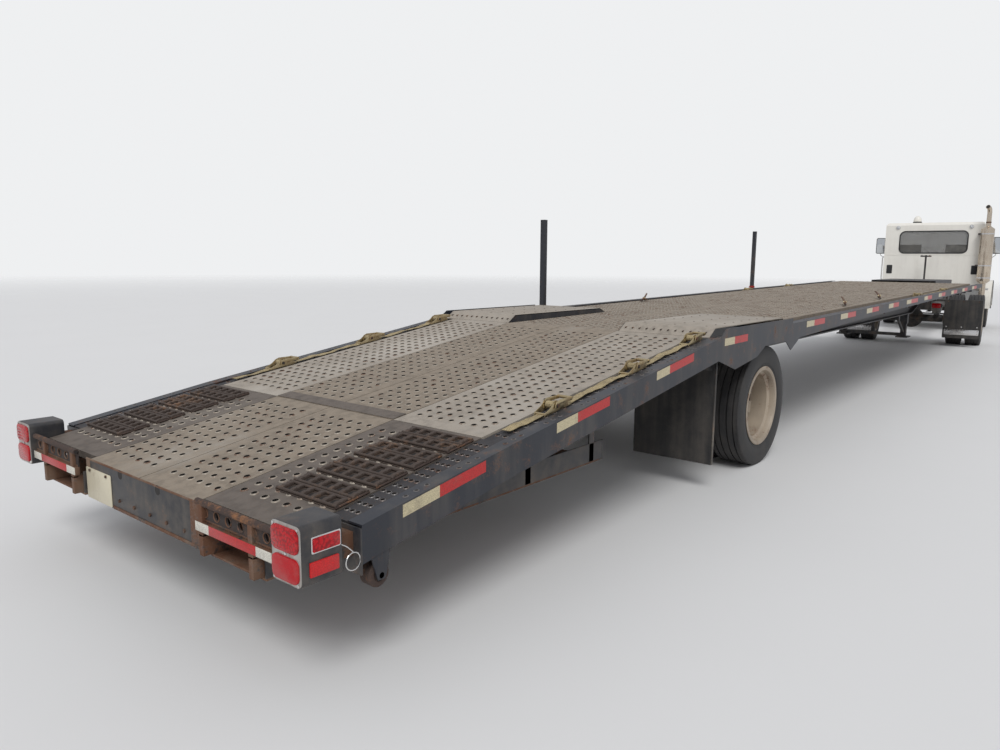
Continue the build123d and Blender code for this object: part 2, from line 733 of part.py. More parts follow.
# Cab shell: hollow, with the doorways, the windscreen and the rear window cut
cab_outline = [
    (cab_back_x, cab_floor_z),
    (cab_back_x, cab_roof_z - 60),
    (cab_back_x + 60, cab_roof_z),
    (roof_front_x, cab_roof_z),
    (screen_top_x, screen_top_z),
    (cab_front_x, cab_belt_z),
    (cab_front_x, cab_floor_z),
]
cab_inner = [
    (cab_back_x + cab_wall, cab_floor_z + cab_wall),
    (cab_back_x + cab_wall, cab_roof_z - 60 - cab_wall),
    (cab_back_x + 60 + cab_wall, cab_roof_z - cab_wall),
    (roof_front_x - 20, cab_roof_z - cab_wall),
    (screen_top_x - 50, screen_top_z - 20),
    (cab_front_x - cab_wall, cab_belt_z - 10),
    (cab_front_x - cab_wall, cab_floor_z + cab_wall),
]
door_outline = [
    (door_rear_x, door_low_z),
    (door_rear_x, door_high_z),
    (3960.0, door_high_z),
    (door_front_x, 1790.0),
    (door_front_x, door_low_z),
]
window_outline = [
    (door_rear_x + 90, 1740.0),
    (door_rear_x + 90, door_high_z - 80),
    (3905.0, door_high_z - 80),
    (4125.0, 1790.0),
    (4125.0, 1740.0),
]
screen_low = (cab_front_x - 20, cab_belt_z + 44)
screen_high = (screen_top_x + 22, screen_top_z - 50)
rear_window_half = 690.0
rear_window_low = 1800.0
rear_window_high = 2300.0


def screen_slab(before, behind):
    """Side outline of a slab along the windscreen, from before it to behind it."""
    return [
        (screen_low[0] + before, screen_low[1]),
        (screen_high[0] + before, screen_high[1]),
        (screen_high[0] - behind, screen_high[1]),
        (screen_low[0] - behind, screen_low[1]),
    ]


def rear_window(shrink):
    """Outline of the wide rounded rear window."""
    width = 2 * (rear_window_half - shrink)
    height = rear_window_high - rear_window_low - 2 * shrink
    with Locations((0, (rear_window_high + rear_window_low) / 2)):
        RectangleRounded(width, height, 110)


hinge_x = door_front_x - door_gap / 2
hinge_heights = (1200.0, 1650.0)
with BuildPart() as cab:
    plate(cab_outline, -cab_half, cab_half)
    roof_edges = cab.edges().filter_by(Axis.X).group_by(Axis.Z)[-1]
    fillet(roof_edges, 70)
    plate(cab_inner, -cab_half + cab_wall, cab_half - cab_wall, Mode.SUBTRACT)
    plate(door_outline, -cab_half - 10, -cab_half + cab_wall + 10, Mode.SUBTRACT)
    plate(door_outline, cab_half - cab_wall - 10, cab_half + 10, Mode.SUBTRACT)
    plate(screen_slab(60, 110), -860, 860, Mode.SUBTRACT)
    with BuildSketch(Plane.YZ.offset(cab_back_x - 10)) as window:
        rear_window(0)
    extrude(window.sketch, amount=cab_wall + 20, mode=Mode.SUBTRACT)
    for side in (-1, 1):
        y = side * (cab_half + hinge_out)
        for z in hinge_heights:
            rod((hinge_x, y, z - 25), (hinge_x, y, z + 50), hinge_pin_r)
            block((hinge_x, hinge_x + 50), (side * cab_half, y + side * hinge_pin_r), (z + 24, z + 50))
keep(cab.part, "cab", tractor_place)

with BuildPart() as cab_glass:
    plate(screen_slab(-4, 4 + glass), -860, 860)
    with BuildSketch(Plane.YZ.offset(cab_back_x + 15)) as window:
        rear_window(0)
    extrude(window.sketch, amount=glass)
keep(cab_glass.part, "cab_glass", tractor_place)


def inset(outline, gap, middle):
    """Draw a side outline's points in by a gap towards its middle."""
    return [(x + (gap if x < middle[0] else -gap), z + (gap if z < middle[1] else -gap)) for x, z in outline]


door_middle = ((door_rear_x + door_front_x) / 2, 1800.0)
mirror_x = 4100.0
knuckle_r = 13.0
with BuildPart() as door:
    plate(inset(door_outline, door_gap, door_middle), cab_half - cab_wall, cab_half)
    plate(window_outline, cab_half - cab_wall - 10, cab_half + 10, Mode.SUBTRACT)
    block((mirror_x - 60, mirror_x - 30), (cab_half + 120, cab_half + 330), (1800, 2180))
    for z in (1830.0, 2150.0):
        rod((mirror_x - 45, cab_half - 5, z - 100), (mirror_x - 45, cab_half + 160, z), 10)
    block((door_rear_x + 40, door_rear_x + 180), (cab_half, cab_half + 25), (1560, 1590))
    y = cab_half + hinge_out
    for z in hinge_heights:
        block((hinge_x - 70, hinge_x - 8), (cab_half, cab_half + 8), (z - 20, z + 20))
        block((hinge_x - 30, hinge_x), (cab_half + 4, y + 6), (z - 20, z + 20))
        rod((hinge_x, y, z - 20), (hinge_x, y, z + 20), knuckle_r)
        rod((hinge_x, y, z - 21), (hinge_x, y, z + 21), hinge_pin_r + hinge_run, mode=Mode.SUBTRACT)
keep_pair(door.part, "door", tractor_place)

with BuildPart() as door_glass:
    plate(window_outline, cab_half - 25 - glass, cab_half - 25)
keep_pair(door_glass.part, "door_glass", tractor_place)

# Cab interior: seats, dashboard and steering wheel
floor_top = cab_floor_z + cab_wall
with BuildPart() as interior:
    for y in (-480.0, 480.0):
        block((3250, 3720), (y - 230, y + 230), (floor_top + 250, floor_top + 380))
        block((3300, 3650), (y - 150, y + 150), (floor_top, floor_top + 250))
        block((3150, 3270), (y - 230, y + 230), (floor_top + 250, floor_top + 950))
    dash_half = cab_half - cab_wall - 55
    block((4020, cab_front_x - cab_wall), (-dash_half, dash_half), (1420, 1660))
    rod((4060, 480, 1520), (3900, 480, 1590), 25)
    with Locations(Plane(origin=(3890, 480, 1595), z_dir=(-1, 0, 0.5))):
        Cylinder(234, 26)
        Cylinder(208, 26, mode=Mode.SUBTRACT)
        Box(420, 30, 14)
        Cylinder(50, 24)
keep(interior.part, "interior", tractor_place)

# Engine, one plain block on the frame
with BuildPart() as engine:
    block((4420, 5450), (-300, 300), (760, 1400))
    for x in (4600.0, 5250.0):
        block((x, x + 80), (-chassis_y, chassis_y), (chassis_high_z, chassis_high_z + 30))
keep(engine.part, "engine", tractor_place)

# Hood with its fenders
hood_outline = [
    (cab_front_x + 15, 1000.0),
    (cab_front_x + 15, hood_rear_z),
    (hood_front_x - 40, hood_front_z),
    (hood_front_x, hood_front_z - 60),
    (hood_front_x, 780.0),
    (5700.0, 780.0),
    (5700.0, 1000.0),
]
hood_inner = [
    (cab_front_x, 700.0),
    (cab_front_x, hood_rear_z - hood_wall + 4),
    (hood_front_x - 45 - hood_wall, hood_front_z - hood_wall),
    (hood_front_x - hood_wall, hood_front_z - 60 - hood_wall),
    (hood_front_x - hood_wall, 700.0),
]
with BuildPart() as hood:
    plate(hood_outline, -hood_half, hood_half)
    plate(hood_inner, -hood_half + hood_wall, hood_half - hood_wall, Mode.SUBTRACT)
    for side in (-1, 1):
        y_0 = side * (hood_half - hood_wall)
        y_1 = side * fender_half
        with BuildSketch(Plane.XZ.offset(-max(y_0, y_1))) as ring:
            with Locations((steer_axle_x, steer_tyre_r)):
                Circle(arch_r + hood_wall)
                Circle(arch_r, mode=Mode.SUBTRACT)
            with Locations((steer_axle_x, steer_tyre_r - 500)):
                Rectangle(2000, 1000, mode=Mode.SUBTRACT)
        extrude(ring.sketch, amount=abs(y_1 - y_0))
    plate([(5520, 940), (5520, 1150), (hood_front_x, 1080), (hood_front_x, 780), (5640, 780)], -fender_half, fender_half)
    plate([(5500, 700), (5545, 905), (5545, 1040), (5760, 1040), (5760, 700)], -hood_half + hood_wall, hood_half - hood_wall,
          Mode.SUBTRACT)
    plate([(5700, 700), (5700, 1100), (hood_front_x - hood_wall, 1100), (hood_front_x - hood_wall, 700)],
          -hood_half + hood_wall, hood_half - hood_wall, Mode.SUBTRACT)
    block((hood_front_x - hood_wall - 5, hood_front_x + 5), (-430, 430), (860, 1340), mode=Mode.SUBTRACT)
    for i in range(7):
        z = 885 + 68 * i
        block((hood_front_x - hood_wall, hood_front_x - 6), (-440, 440), (z, z + 28))
    for y in (hood_ear_y, -hood_ear_y - hood_ear_width):
        ear_y = (y, y + hood_ear_width)
        block((hood_front_x - hood_wall, hood_hinge_x + 22), ear_y, (hood_hinge_z - 22, 800))
        pin = ((hood_hinge_x, ear_y[0] - 1, hood_hinge_z), (hood_hinge_x, ear_y[1] + 1, hood_hinge_z))
        rod(*pin, hood_pin_r + hinge_run, mode=Mode.SUBTRACT)
keep(hood.part, "hood", tractor_place)

with BuildPart() as headlamps:
    block((hood_front_x, hood_front_x + 20), (720, 1060), (850, 1010))
    both_sides()
keep(headlamps.part, "headlamps", tractor_place)

with BuildPart() as bumper:
    with BuildSketch(Plane.XY.offset(420)) as face:
        with BuildLine():
            Polyline(
                (bumper_front_x - 60, -bumper_half), (bumper_front_x, -bumper_half + 250),
                (bumper_front_x, bumper_half - 250), (bumper_front_x - 60, bumper_half),
                (bumper_front_x - 68, bumper_half), (bumper_front_x - 8, bumper_half - 250),
                (bumper_front_x - 8, -bumper_half + 250), (bumper_front_x - 68, -bumper_half), close=True,
            )
        make_face()
    extrude(face.sketch, amount=270)
    for y in (-chassis_y, chassis_y):
        block((chassis_front_x, bumper_front_x - 8), (y - 30, y + 30), (500, 680))
        block((tow_eye_x - 40, tow_eye_x + 40), (y - 30, y + 30), (tow_eye_z - 40, 500))
        eye = ((tow_eye_x, y - 30, tow_eye_z), (tow_eye_x, y + 30, tow_eye_z))
        rod(*eye, tow_eye_r, mode=Mode.SUBTRACT)
keep(bumper.part, "bumper", tractor_place)

# Fuel tanks with steps, exhaust stack, hose stand and lamps
with BuildPart() as tanks:
    rod((3120, 820, 700), (4120, 820, 700), 280)
    for x in (3300.0, 3950.0):
        block((x - 30, x + 30), (chassis_y + chassis_wall, 700), (520, 560))
        block((x - 30, x + 30), (chassis_y + chassis_wall, chassis_y + chassis_wall + 30), (520, 860))
    block((3450, 4150), (900, 1150), (960, 985))
    both_sides()
keep(tanks.part, "tanks", tractor_place)

exhaust_x = 2840.0
exhaust_y = -cab_half - 60
with BuildPart() as exhaust:
    rod((exhaust_x, exhaust_y, 1150), (exhaust_x, exhaust_y, 2350), 130)
    rod((exhaust_x, exhaust_y, 700), (exhaust_x, exhaust_y, 1150), 60)
    rod((exhaust_x, exhaust_y, 2350), (exhaust_x, exhaust_y, 2850), 60)
    for z in (1500.0, 2200.0):
        block((exhaust_x, cab_back_x), (-980, -880), (z, z + 40))
keep(exhaust.part, "exhaust", tractor_place)

with BuildPart() as hose_stand:
    rod((2700, 150, chassis_high_z), (2700, 150, 2060), 20)
    block((2640, 2760), (-chassis_y, chassis_y), (chassis_high_z, chassis_high_z + 20))
    rod((2700, -60, 2040), (2700, 360, 2040), 16)
keep(hose_stand.part, "hose_stand", tractor_place)

with BuildPart() as cab_lamps:
    for y in (-880.0, 880.0):
        rod((cab_back_x, y, 2350), (cab_back_x - 25, y, 2350), 45)
        block((cab_back_x - 12, cab_back_x), (y - 60, y + 60), (1260, 1400))
    for y in (-500.0, -180.0, 0.0, 180.0, 500.0):
        rod((3850, y, cab_roof_z), (3850, y, cab_roof_z + 35), 40)
keep(cab_lamps.part, "cab_lamps", tractor_place)
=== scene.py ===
import json
import logging
from dataclasses import dataclass, field, replace
from enum import Enum
from math import atan2, cos, hypot, pi, radians, sin
from typing import Any, Iterable, Sequence

import bmesh
import bpy
from mathutils import Matrix, Vector


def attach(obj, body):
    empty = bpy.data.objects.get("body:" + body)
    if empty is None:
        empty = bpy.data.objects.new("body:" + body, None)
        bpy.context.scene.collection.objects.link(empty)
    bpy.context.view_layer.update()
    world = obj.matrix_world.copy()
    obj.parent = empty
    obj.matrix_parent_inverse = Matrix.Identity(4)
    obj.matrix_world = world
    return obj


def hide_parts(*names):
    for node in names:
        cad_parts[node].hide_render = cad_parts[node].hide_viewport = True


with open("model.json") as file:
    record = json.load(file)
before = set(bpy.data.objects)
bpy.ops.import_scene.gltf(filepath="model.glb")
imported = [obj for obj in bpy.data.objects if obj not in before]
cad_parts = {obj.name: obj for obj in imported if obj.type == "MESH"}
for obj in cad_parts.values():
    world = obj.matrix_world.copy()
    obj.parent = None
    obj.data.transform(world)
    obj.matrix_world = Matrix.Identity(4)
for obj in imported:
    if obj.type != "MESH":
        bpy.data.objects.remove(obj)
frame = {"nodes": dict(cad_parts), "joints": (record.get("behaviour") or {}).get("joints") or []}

LOG = logging.getLogger("transporter")
Point = tuple[float, float, float]
Pair = tuple[float, float]
Colour = tuple[float, float, float]
KINGPIN_X = 15700.0
HITCH_TURN = radians(5.5)
MM = 0.001
SMALL_OCTAVES = 0.6
BUMP_DEPTH = 0.002


def shade(colour: Colour, share: float) -> Colour:
    """A colour darkened to a share of itself."""
    return tuple(c * share for c in colour)


class Value:
    """A number, colour or vector inside a material, which Python's operators work on."""

    def __init__(self, graph: "Graph", out: Any) -> None:
        """Keep the graph and the node output."""
        self.graph = graph
        self.out = out

    def _math(self, operation: str, first: Any, second: Any) -> "Value":
        """The result of one Math node of two values."""
        return self.graph.node("ShaderNodeMath", {"operation": operation}, {0: first, 1: second})

    def __add__(self, other: Any) -> "Value":
        """Sum."""
        return self._math("ADD", self, other)

    def __sub__(self, other: Any) -> "Value":
        """Difference."""
        return self._math("SUBTRACT", self, other)

    def __rsub__(self, other: Any) -> "Value":
        """Difference from the right."""
        return self._math("SUBTRACT", other, self)

    def __mul__(self, other: Any) -> "Value":
        """Product."""
        return self._math("MULTIPLY", self, other)

    __radd__ = __add__
    __rmul__ = __mul__

    def above(self, low: float, high: float) -> "Value":
        """Rise smoothly from 0 at low to 1 at high.

        Args:
            low: Value that gives 0.
            high: Value that gives 1.

        Returns:
            The mask.
        """
        sockets = {"Value": self, "From Min": low, "From Max": high}
        return self.graph.node("ShaderNodeMapRange", {"interpolation_type": "SMOOTHSTEP"}, sockets)


class Graph:
    """A material's nodes, with short ways to add them."""

    def __init__(self, name: str) -> None:
        """Start a material with one Principled shader.

        Args:
            name: The material's name.
        """
        self.material = bpy.data.materials.new(name)
        self.material.use_nodes = True
        self.nodes = self.material.node_tree.nodes
        self.links = self.material.node_tree.links
        self.shader = self.nodes["Principled BSDF"]
        self.place = Value(self, self.nodes.new("ShaderNodeTexCoord").outputs["Object"])

    def plug(self, socket: Any, value: Any) -> None:
        """Link a value to a socket, or set it there.

        Args:
            socket: The socket.
            value: A value inside the material, a number or a colour.
        """
        if isinstance(value, Value):
            self.links.new(value.out, socket)
        elif socket.type == "RGBA" and len(value) == 3:
            socket.default_value = (*value, 1.0)
        else:
            socket.default_value = value

    def node(self, kind: str, settings: dict[str, Any], sockets: dict[Any, Any],
             out: Any = 0) -> Value:
        """Add a node.

        Args:
            kind: The node's type.
            settings: What is set on the node before its sockets.
            sockets: Values or links by socket name or number.
            out: The output wanted.

        Returns:
            That output.
        """
        made = self.nodes.new(kind)
        for key, setting in settings.items():
            setattr(made, key, setting)
        for key, value in sockets.items():
            self.plug(made.inputs[key], value)
        return Value(self, made.outputs[out])

    def noise(self, scale: float, detail: float = 4.0, stretch: Point = (1, 1, 1)) -> Value:
        """Cloudy noise.

        Args:
            scale: Features per metre.
            detail: Octaves.
            stretch: Scale along each axis.

        Returns:
            The noise from 0 to 1.
        """
        vector = self.node("ShaderNodeVectorMath", {"operation": "MULTIPLY"},
                           {0: self.place, 1: stretch})
        sockets = {"Vector": vector, "Scale": scale, "Detail": detail, "Roughness": SMALL_OCTAVES}
        return self.node("ShaderNodeTexNoise", {}, sockets)

    def cells(self, scale: float) -> Value:
        """Distance to the nearest of scattered points."""
        return self.node("ShaderNodeTexVoronoi", {}, {"Vector": self.place, "Scale": scale})

    def waves(self, scale: float, axis: str) -> Value:
        """Parallel bands along one axis."""
        sockets = {"Vector": self.place, "Scale": scale}
        return self.node("ShaderNodeTexWave", {"bands_direction": axis}, sockets)

    def height(self) -> Value:
        """Height above the ground in metres."""
        return self.node("ShaderNodeSeparateXYZ", {}, {0: self.place}, 2)

    def mix(self, first: Any, second: Any, share: Any) -> Value:
        """Blend two colours.

        Args:
            first: Colour at 0.
            second: Colour at 1.
            share: The blend.

        Returns:
            The colour.
        """
        sockets = {0: share, 6: first, 7: second}
        return self.node("ShaderNodeMix", {"data_type": "RGBA"}, sockets, 2)

    def finish(self, colour: Any, rough: Any, bump: Any = None, strength: float = 0.3,
               metal: Any = 0.0) -> bpy.types.Material:
        """Feed the shader.

        Args:
            colour: Base colour.
            rough: Roughness.
            bump: Height for the bump, if any.
            strength: Strength of the bump.
            metal: Metallic share.

        Returns:
            The material.
        """
        for name, value in (("Base Color", colour), ("Roughness", rough), ("Metallic", metal)):
            self.plug(self.shader.inputs[name], value)
        if bump is not None:
            sockets = {"Strength": strength, "Distance": BUMP_DEPTH, "Height": bump}
            self.plug(self.shader.inputs["Normal"], self.node("ShaderNodeBump", {}, sockets))
        return self.material


@dataclass(frozen=True)
class Coating:
    """Paint or bare steel with chips, rust, streaks and road dirt."""

    name: str
    colour: Colour
    under: Colour = (0.16, 0.07, 0.035)
    dirt: Colour = (0.28, 0.25, 0.21)
    chips: float = 0.2
    stain: float = 0.3
    dust: float = 0.3
    splash: float = 0.0
    rough: float = 0.45
    metal: float = 0.0
    grain: float = 1.0
    patches: float = 0.25

    def make(self) -> bpy.types.Material:
        """Build the material.

        Returns:
            The material.
        """
        g = Graph(self.name)
        broad = g.noise(1.7 * self.grain, 3)
        middle = g.noise(11 * self.grain, 6)
        fine = g.noise(90 * self.grain, 5)
        streaks = g.noise(9 * self.grain, 4, (1, 1, 0.12))
        spots = middle * 0.55 + fine * 0.25 + broad * 0.2
        edge = 0.66 - 0.22 * self.chips
        chip = spots.above(edge, edge + 0.02)
        halo = spots.above(edge - 0.07, edge + 0.01)
        dark = shade(self.colour, 1 - self.patches)
        colour = g.mix(self.colour, dark, broad.above(0.35, 0.7))
        colour = g.mix(colour, shade(self.colour, 0.7), fine.above(0.5, 0.8) * self.patches)
        colour = g.mix(colour, self.under, halo * self.stain)
        bare = chip * min(1.0, 2.5 * self.chips)
        colour = g.mix(colour, shade(self.under, 0.75), bare)
        film = (streaks * 0.7 + broad * 0.3).above(0.42, 0.72) * self.dust
        if self.splash:
            low = 1 - g.height().above(0.15, 1.1)
            film = film + low * middle.above(0.3, 0.65) * self.splash
        colour = g.mix(colour, self.dirt, film)
        rough = self.rough + chip * 0.25 + film * 0.3
        metal = self.metal - chip * (0.7 * self.metal) - film * (0.8 * self.metal)
        bump = fine * 0.5 + middle * 0.3 - chip * 0.6
        return g.finish(colour, rough, bump, 0.25, metal)


@dataclass(frozen=True)
class RustedSteel:
    """Steel rusted all over, with flakes and pits."""

    name: str
    dark: Colour = (0.055, 0.035, 0.028)
    bright: Colour = (0.3, 0.13, 0.05)
    share: float = 0.5
    rough: float = 0.85

    def make(self) -> bpy.types.Material:
        """Build the material.

        Returns:
            The material.
        """
        g = Graph(self.name)
        broad, middle, fine = g.noise(3, 4), g.noise(24, 6), g.noise(160, 4)
        pits = g.cells(210)
        tone = broad * 0.4 + middle * 0.4 + fine * 0.2
        tone = tone.above(0.62 - 0.25 * self.share, 0.8 - 0.2 * self.share)
        colour = g.mix(self.dark, self.bright, tone)
        colour = g.mix(colour, (0.2, 0.17, 0.14), fine.above(0.58, 0.75) * 0.35)
        return g.finish(colour, self.rough, middle * 0.6 + fine * 0.3 + pits * 0.4, 0.5)


@dataclass(frozen=True)
class WornDeck:
    """Punched deck steel, tan with dried mud, whitish with salt, dark where it is walked clean."""

    name: str
    colour: Colour = (0.285, 0.235, 0.18)
    salt: Colour = (0.52, 0.48, 0.42)
    mud: Colour = (0.1, 0.078, 0.06)
    salted: float = 0.35
    muddy: float = 0.35

    def make(self) -> bpy.types.Material:
        """Build the material.

        Returns:
            The material.
        """
        g = Graph(self.name)
        broad = g.noise(0.9, 4)
        along = g.noise(3.2, 5, (0.3, 1, 1))
        middle, fine = g.noise(17, 6), g.noise(140, 5)
        scratches = g.noise(60, 3, (0.05, 1, 1))
        salt = broad * 0.5 + along * 0.3 + middle * 0.2
        salt = salt.above(0.62 - 0.2 * self.salted, 0.8 - 0.2 * self.salted)
        mud = along * 0.45 + middle * 0.35 + fine * 0.2
        mud = mud.above(0.66 - 0.2 * self.muddy, 0.76 - 0.14 * self.muddy)
        colour = g.mix(self.colour, shade(self.colour, 0.72), middle.above(0.4, 0.7))
        colour = g.mix(colour, self.salt, salt * 0.7)
        colour = g.mix(colour, self.mud, mud * 0.6)
        colour = g.mix(colour, (0.24, 0.115, 0.05), fine.above(0.55, 0.72) * 0.3)
        rough = 0.62 + fine * 0.25 - scratches.above(0.5, 0.8) * 0.12
        bump = middle * 0.4 + fine * 0.5 + scratches * 0.2
        return g.finish(colour, rough, bump, 0.35, 0.12)


@dataclass(frozen=True)
class DustyRubber:
    """Black rubber under road dust, with streaks running down it."""

    name: str
    colour: Colour = (0.021, 0.021, 0.022)
    dust: Colour = (0.13, 0.115, 0.1)
    amount: float = 0.45

    def make(self) -> bpy.types.Material:
        """Build the material.

        Returns:
            The material.
        """
        g = Graph(self.name)
        streaks, middle, fine = g.noise(14, 4, (1, 1, 0.1)), g.noise(8, 5), g.noise(150, 4)
        film = (streaks * 0.5 + middle * 0.35 + fine * 0.15).above(0.35, 0.75) * self.amount
        colour = g.mix(self.colour, self.dust, film)
        return g.finish(colour, 0.62 + film * 0.5, fine * 0.5 + middle * 0.5, 0.3)


@dataclass(frozen=True)
class Bright:
    """Chromed or polished metal with streaks and a road film."""

    name: str
    colour: Colour = (0.72, 0.71, 0.7)
    tarnish: Colour = (0.3, 0.24, 0.19)
    amount: float = 0.35
    rough: float = 0.14

    def make(self) -> bpy.types.Material:
        """Build the material.

        Returns:
            The material.
        """
        g = Graph(self.name)
        streaks, middle, fine = g.noise(26, 4, (1, 1, 0.15)), g.noise(6, 5), g.noise(220, 3)
        film = (streaks * 0.6 + middle * 0.4).above(0.4, 0.7) * self.amount
        colour = g.mix(self.colour, self.tarnish, film)
        rough = self.rough + film * 0.5 + fine * 0.08
        return g.finish(colour, rough, fine, 0.06, 1.0 - film * 0.6)


@dataclass(frozen=True)
class Lens:
    """Ribbed lamp plastic with light spots behind it."""

    name: str
    colour: Colour = (0.62, 0.02, 0.018)
    deep: Colour = (0.2, 0.004, 0.005)
    spots: float = 75.0
    dust: float = 0.15

    def make(self) -> bpy.types.Material:
        """Build the material.

        Returns:
            The material.
        """
        g = Graph(self.name)
        spot = g.cells(self.spots)
        ribs = g.waves(55, "Z")
        film = g.noise(20, 5).above(0.45, 0.8) * self.dust
        colour = g.mix(self.colour, self.deep, spot.above(0.25, 0.8))
        colour = g.mix(colour, (0.3, 0.26, 0.22), film)
        for name, value in (("Specular IOR Level", 0.25), ("Coat Weight", 0.2),
                            ("Coat Roughness", 0.05)):
            g.plug(g.shader.inputs[name], value)
        return g.finish(colour, 0.16 + film * 0.5, spot * 0.6 + ribs * 0.25, 0.35)


@dataclass(frozen=True)
class Glass:
    """Tinted safety glass with a thin film of dust."""

    name: str
    tint: Colour = (0.17, 0.165, 0.15)
    cover: float = 0.38

    def make(self) -> bpy.types.Material:
        """Build the material.

        Returns:
            The material.
        """
        g = Graph(self.name)
        film = (g.noise(7, 5) * 0.6 + g.noise(30, 4, (1, 1, 0.2)) * 0.4).above(0.45, 0.75)
        g.plug(g.shader.inputs["Alpha"], self.cover + film * 0.25)
        colour = g.mix(self.tint, (0.45, 0.42, 0.37), film * 0.4)
        return g.finish(colour, 0.05 + film * 0.3)


@dataclass(frozen=True)
class Tape:
    """Reflective tape of small cells, scuffed and dirty."""

    name: str
    colour: Colour
    wear: float = 0.35

    def make(self) -> bpy.types.Material:
        """Build the material.

        Returns:
            The material.
        """
        g = Graph(self.name)
        cell = g.cells(230)
        scuff = (g.noise(12, 6) * 0.6 + g.noise(70, 4) * 0.4).above(0.5, 0.72) * self.wear
        colour = g.mix(self.colour, shade(self.colour, 0.75), cell.above(0.3, 0.6))
        colour = g.mix(colour, (0.17, 0.14, 0.11), scuff)
        return g.finish(colour, 0.3 + scuff * 0.5, cell, 0.15)


@dataclass(frozen=True)
class Webbing:
    """Woven strap with grimy edges."""

    name: str
    colour: Colour = (0.5, 0.4, 0.22)
    grime: Colour = (0.12, 0.09, 0.06)

    def make(self) -> bpy.types.Material:
        """Build the material.

        Returns:
            The material.
        """
        g = Graph(self.name)
        weave = g.waves(190, "X") * g.waves(260, "Y")
        dirt = (g.noise(8, 5) * 0.6 + g.noise(50, 4) * 0.4).above(0.42, 0.68)
        colour = g.mix(self.colour, shade(self.colour, 0.55), weave)
        return g.finish(g.mix(colour, self.grime, dirt * 0.55), 0.85, weave, 0.6)


@dataclass(frozen=True)
class Moulded:
    """Grained moulded plastic or foam-covered trim."""

    name: str
    colour: Colour
    rough: float = 0.6

    def make(self) -> bpy.types.Material:
        """Build the material.

        Returns:
            The material.
        """
        g = Graph(self.name)
        grain, broad = g.cells(420), g.noise(4, 4)
        colour = g.mix(self.colour, shade(self.colour, 0.7), broad.above(0.35, 0.7))
        return g.finish(colour, self.rough + broad * 0.12, grain, 0.25)


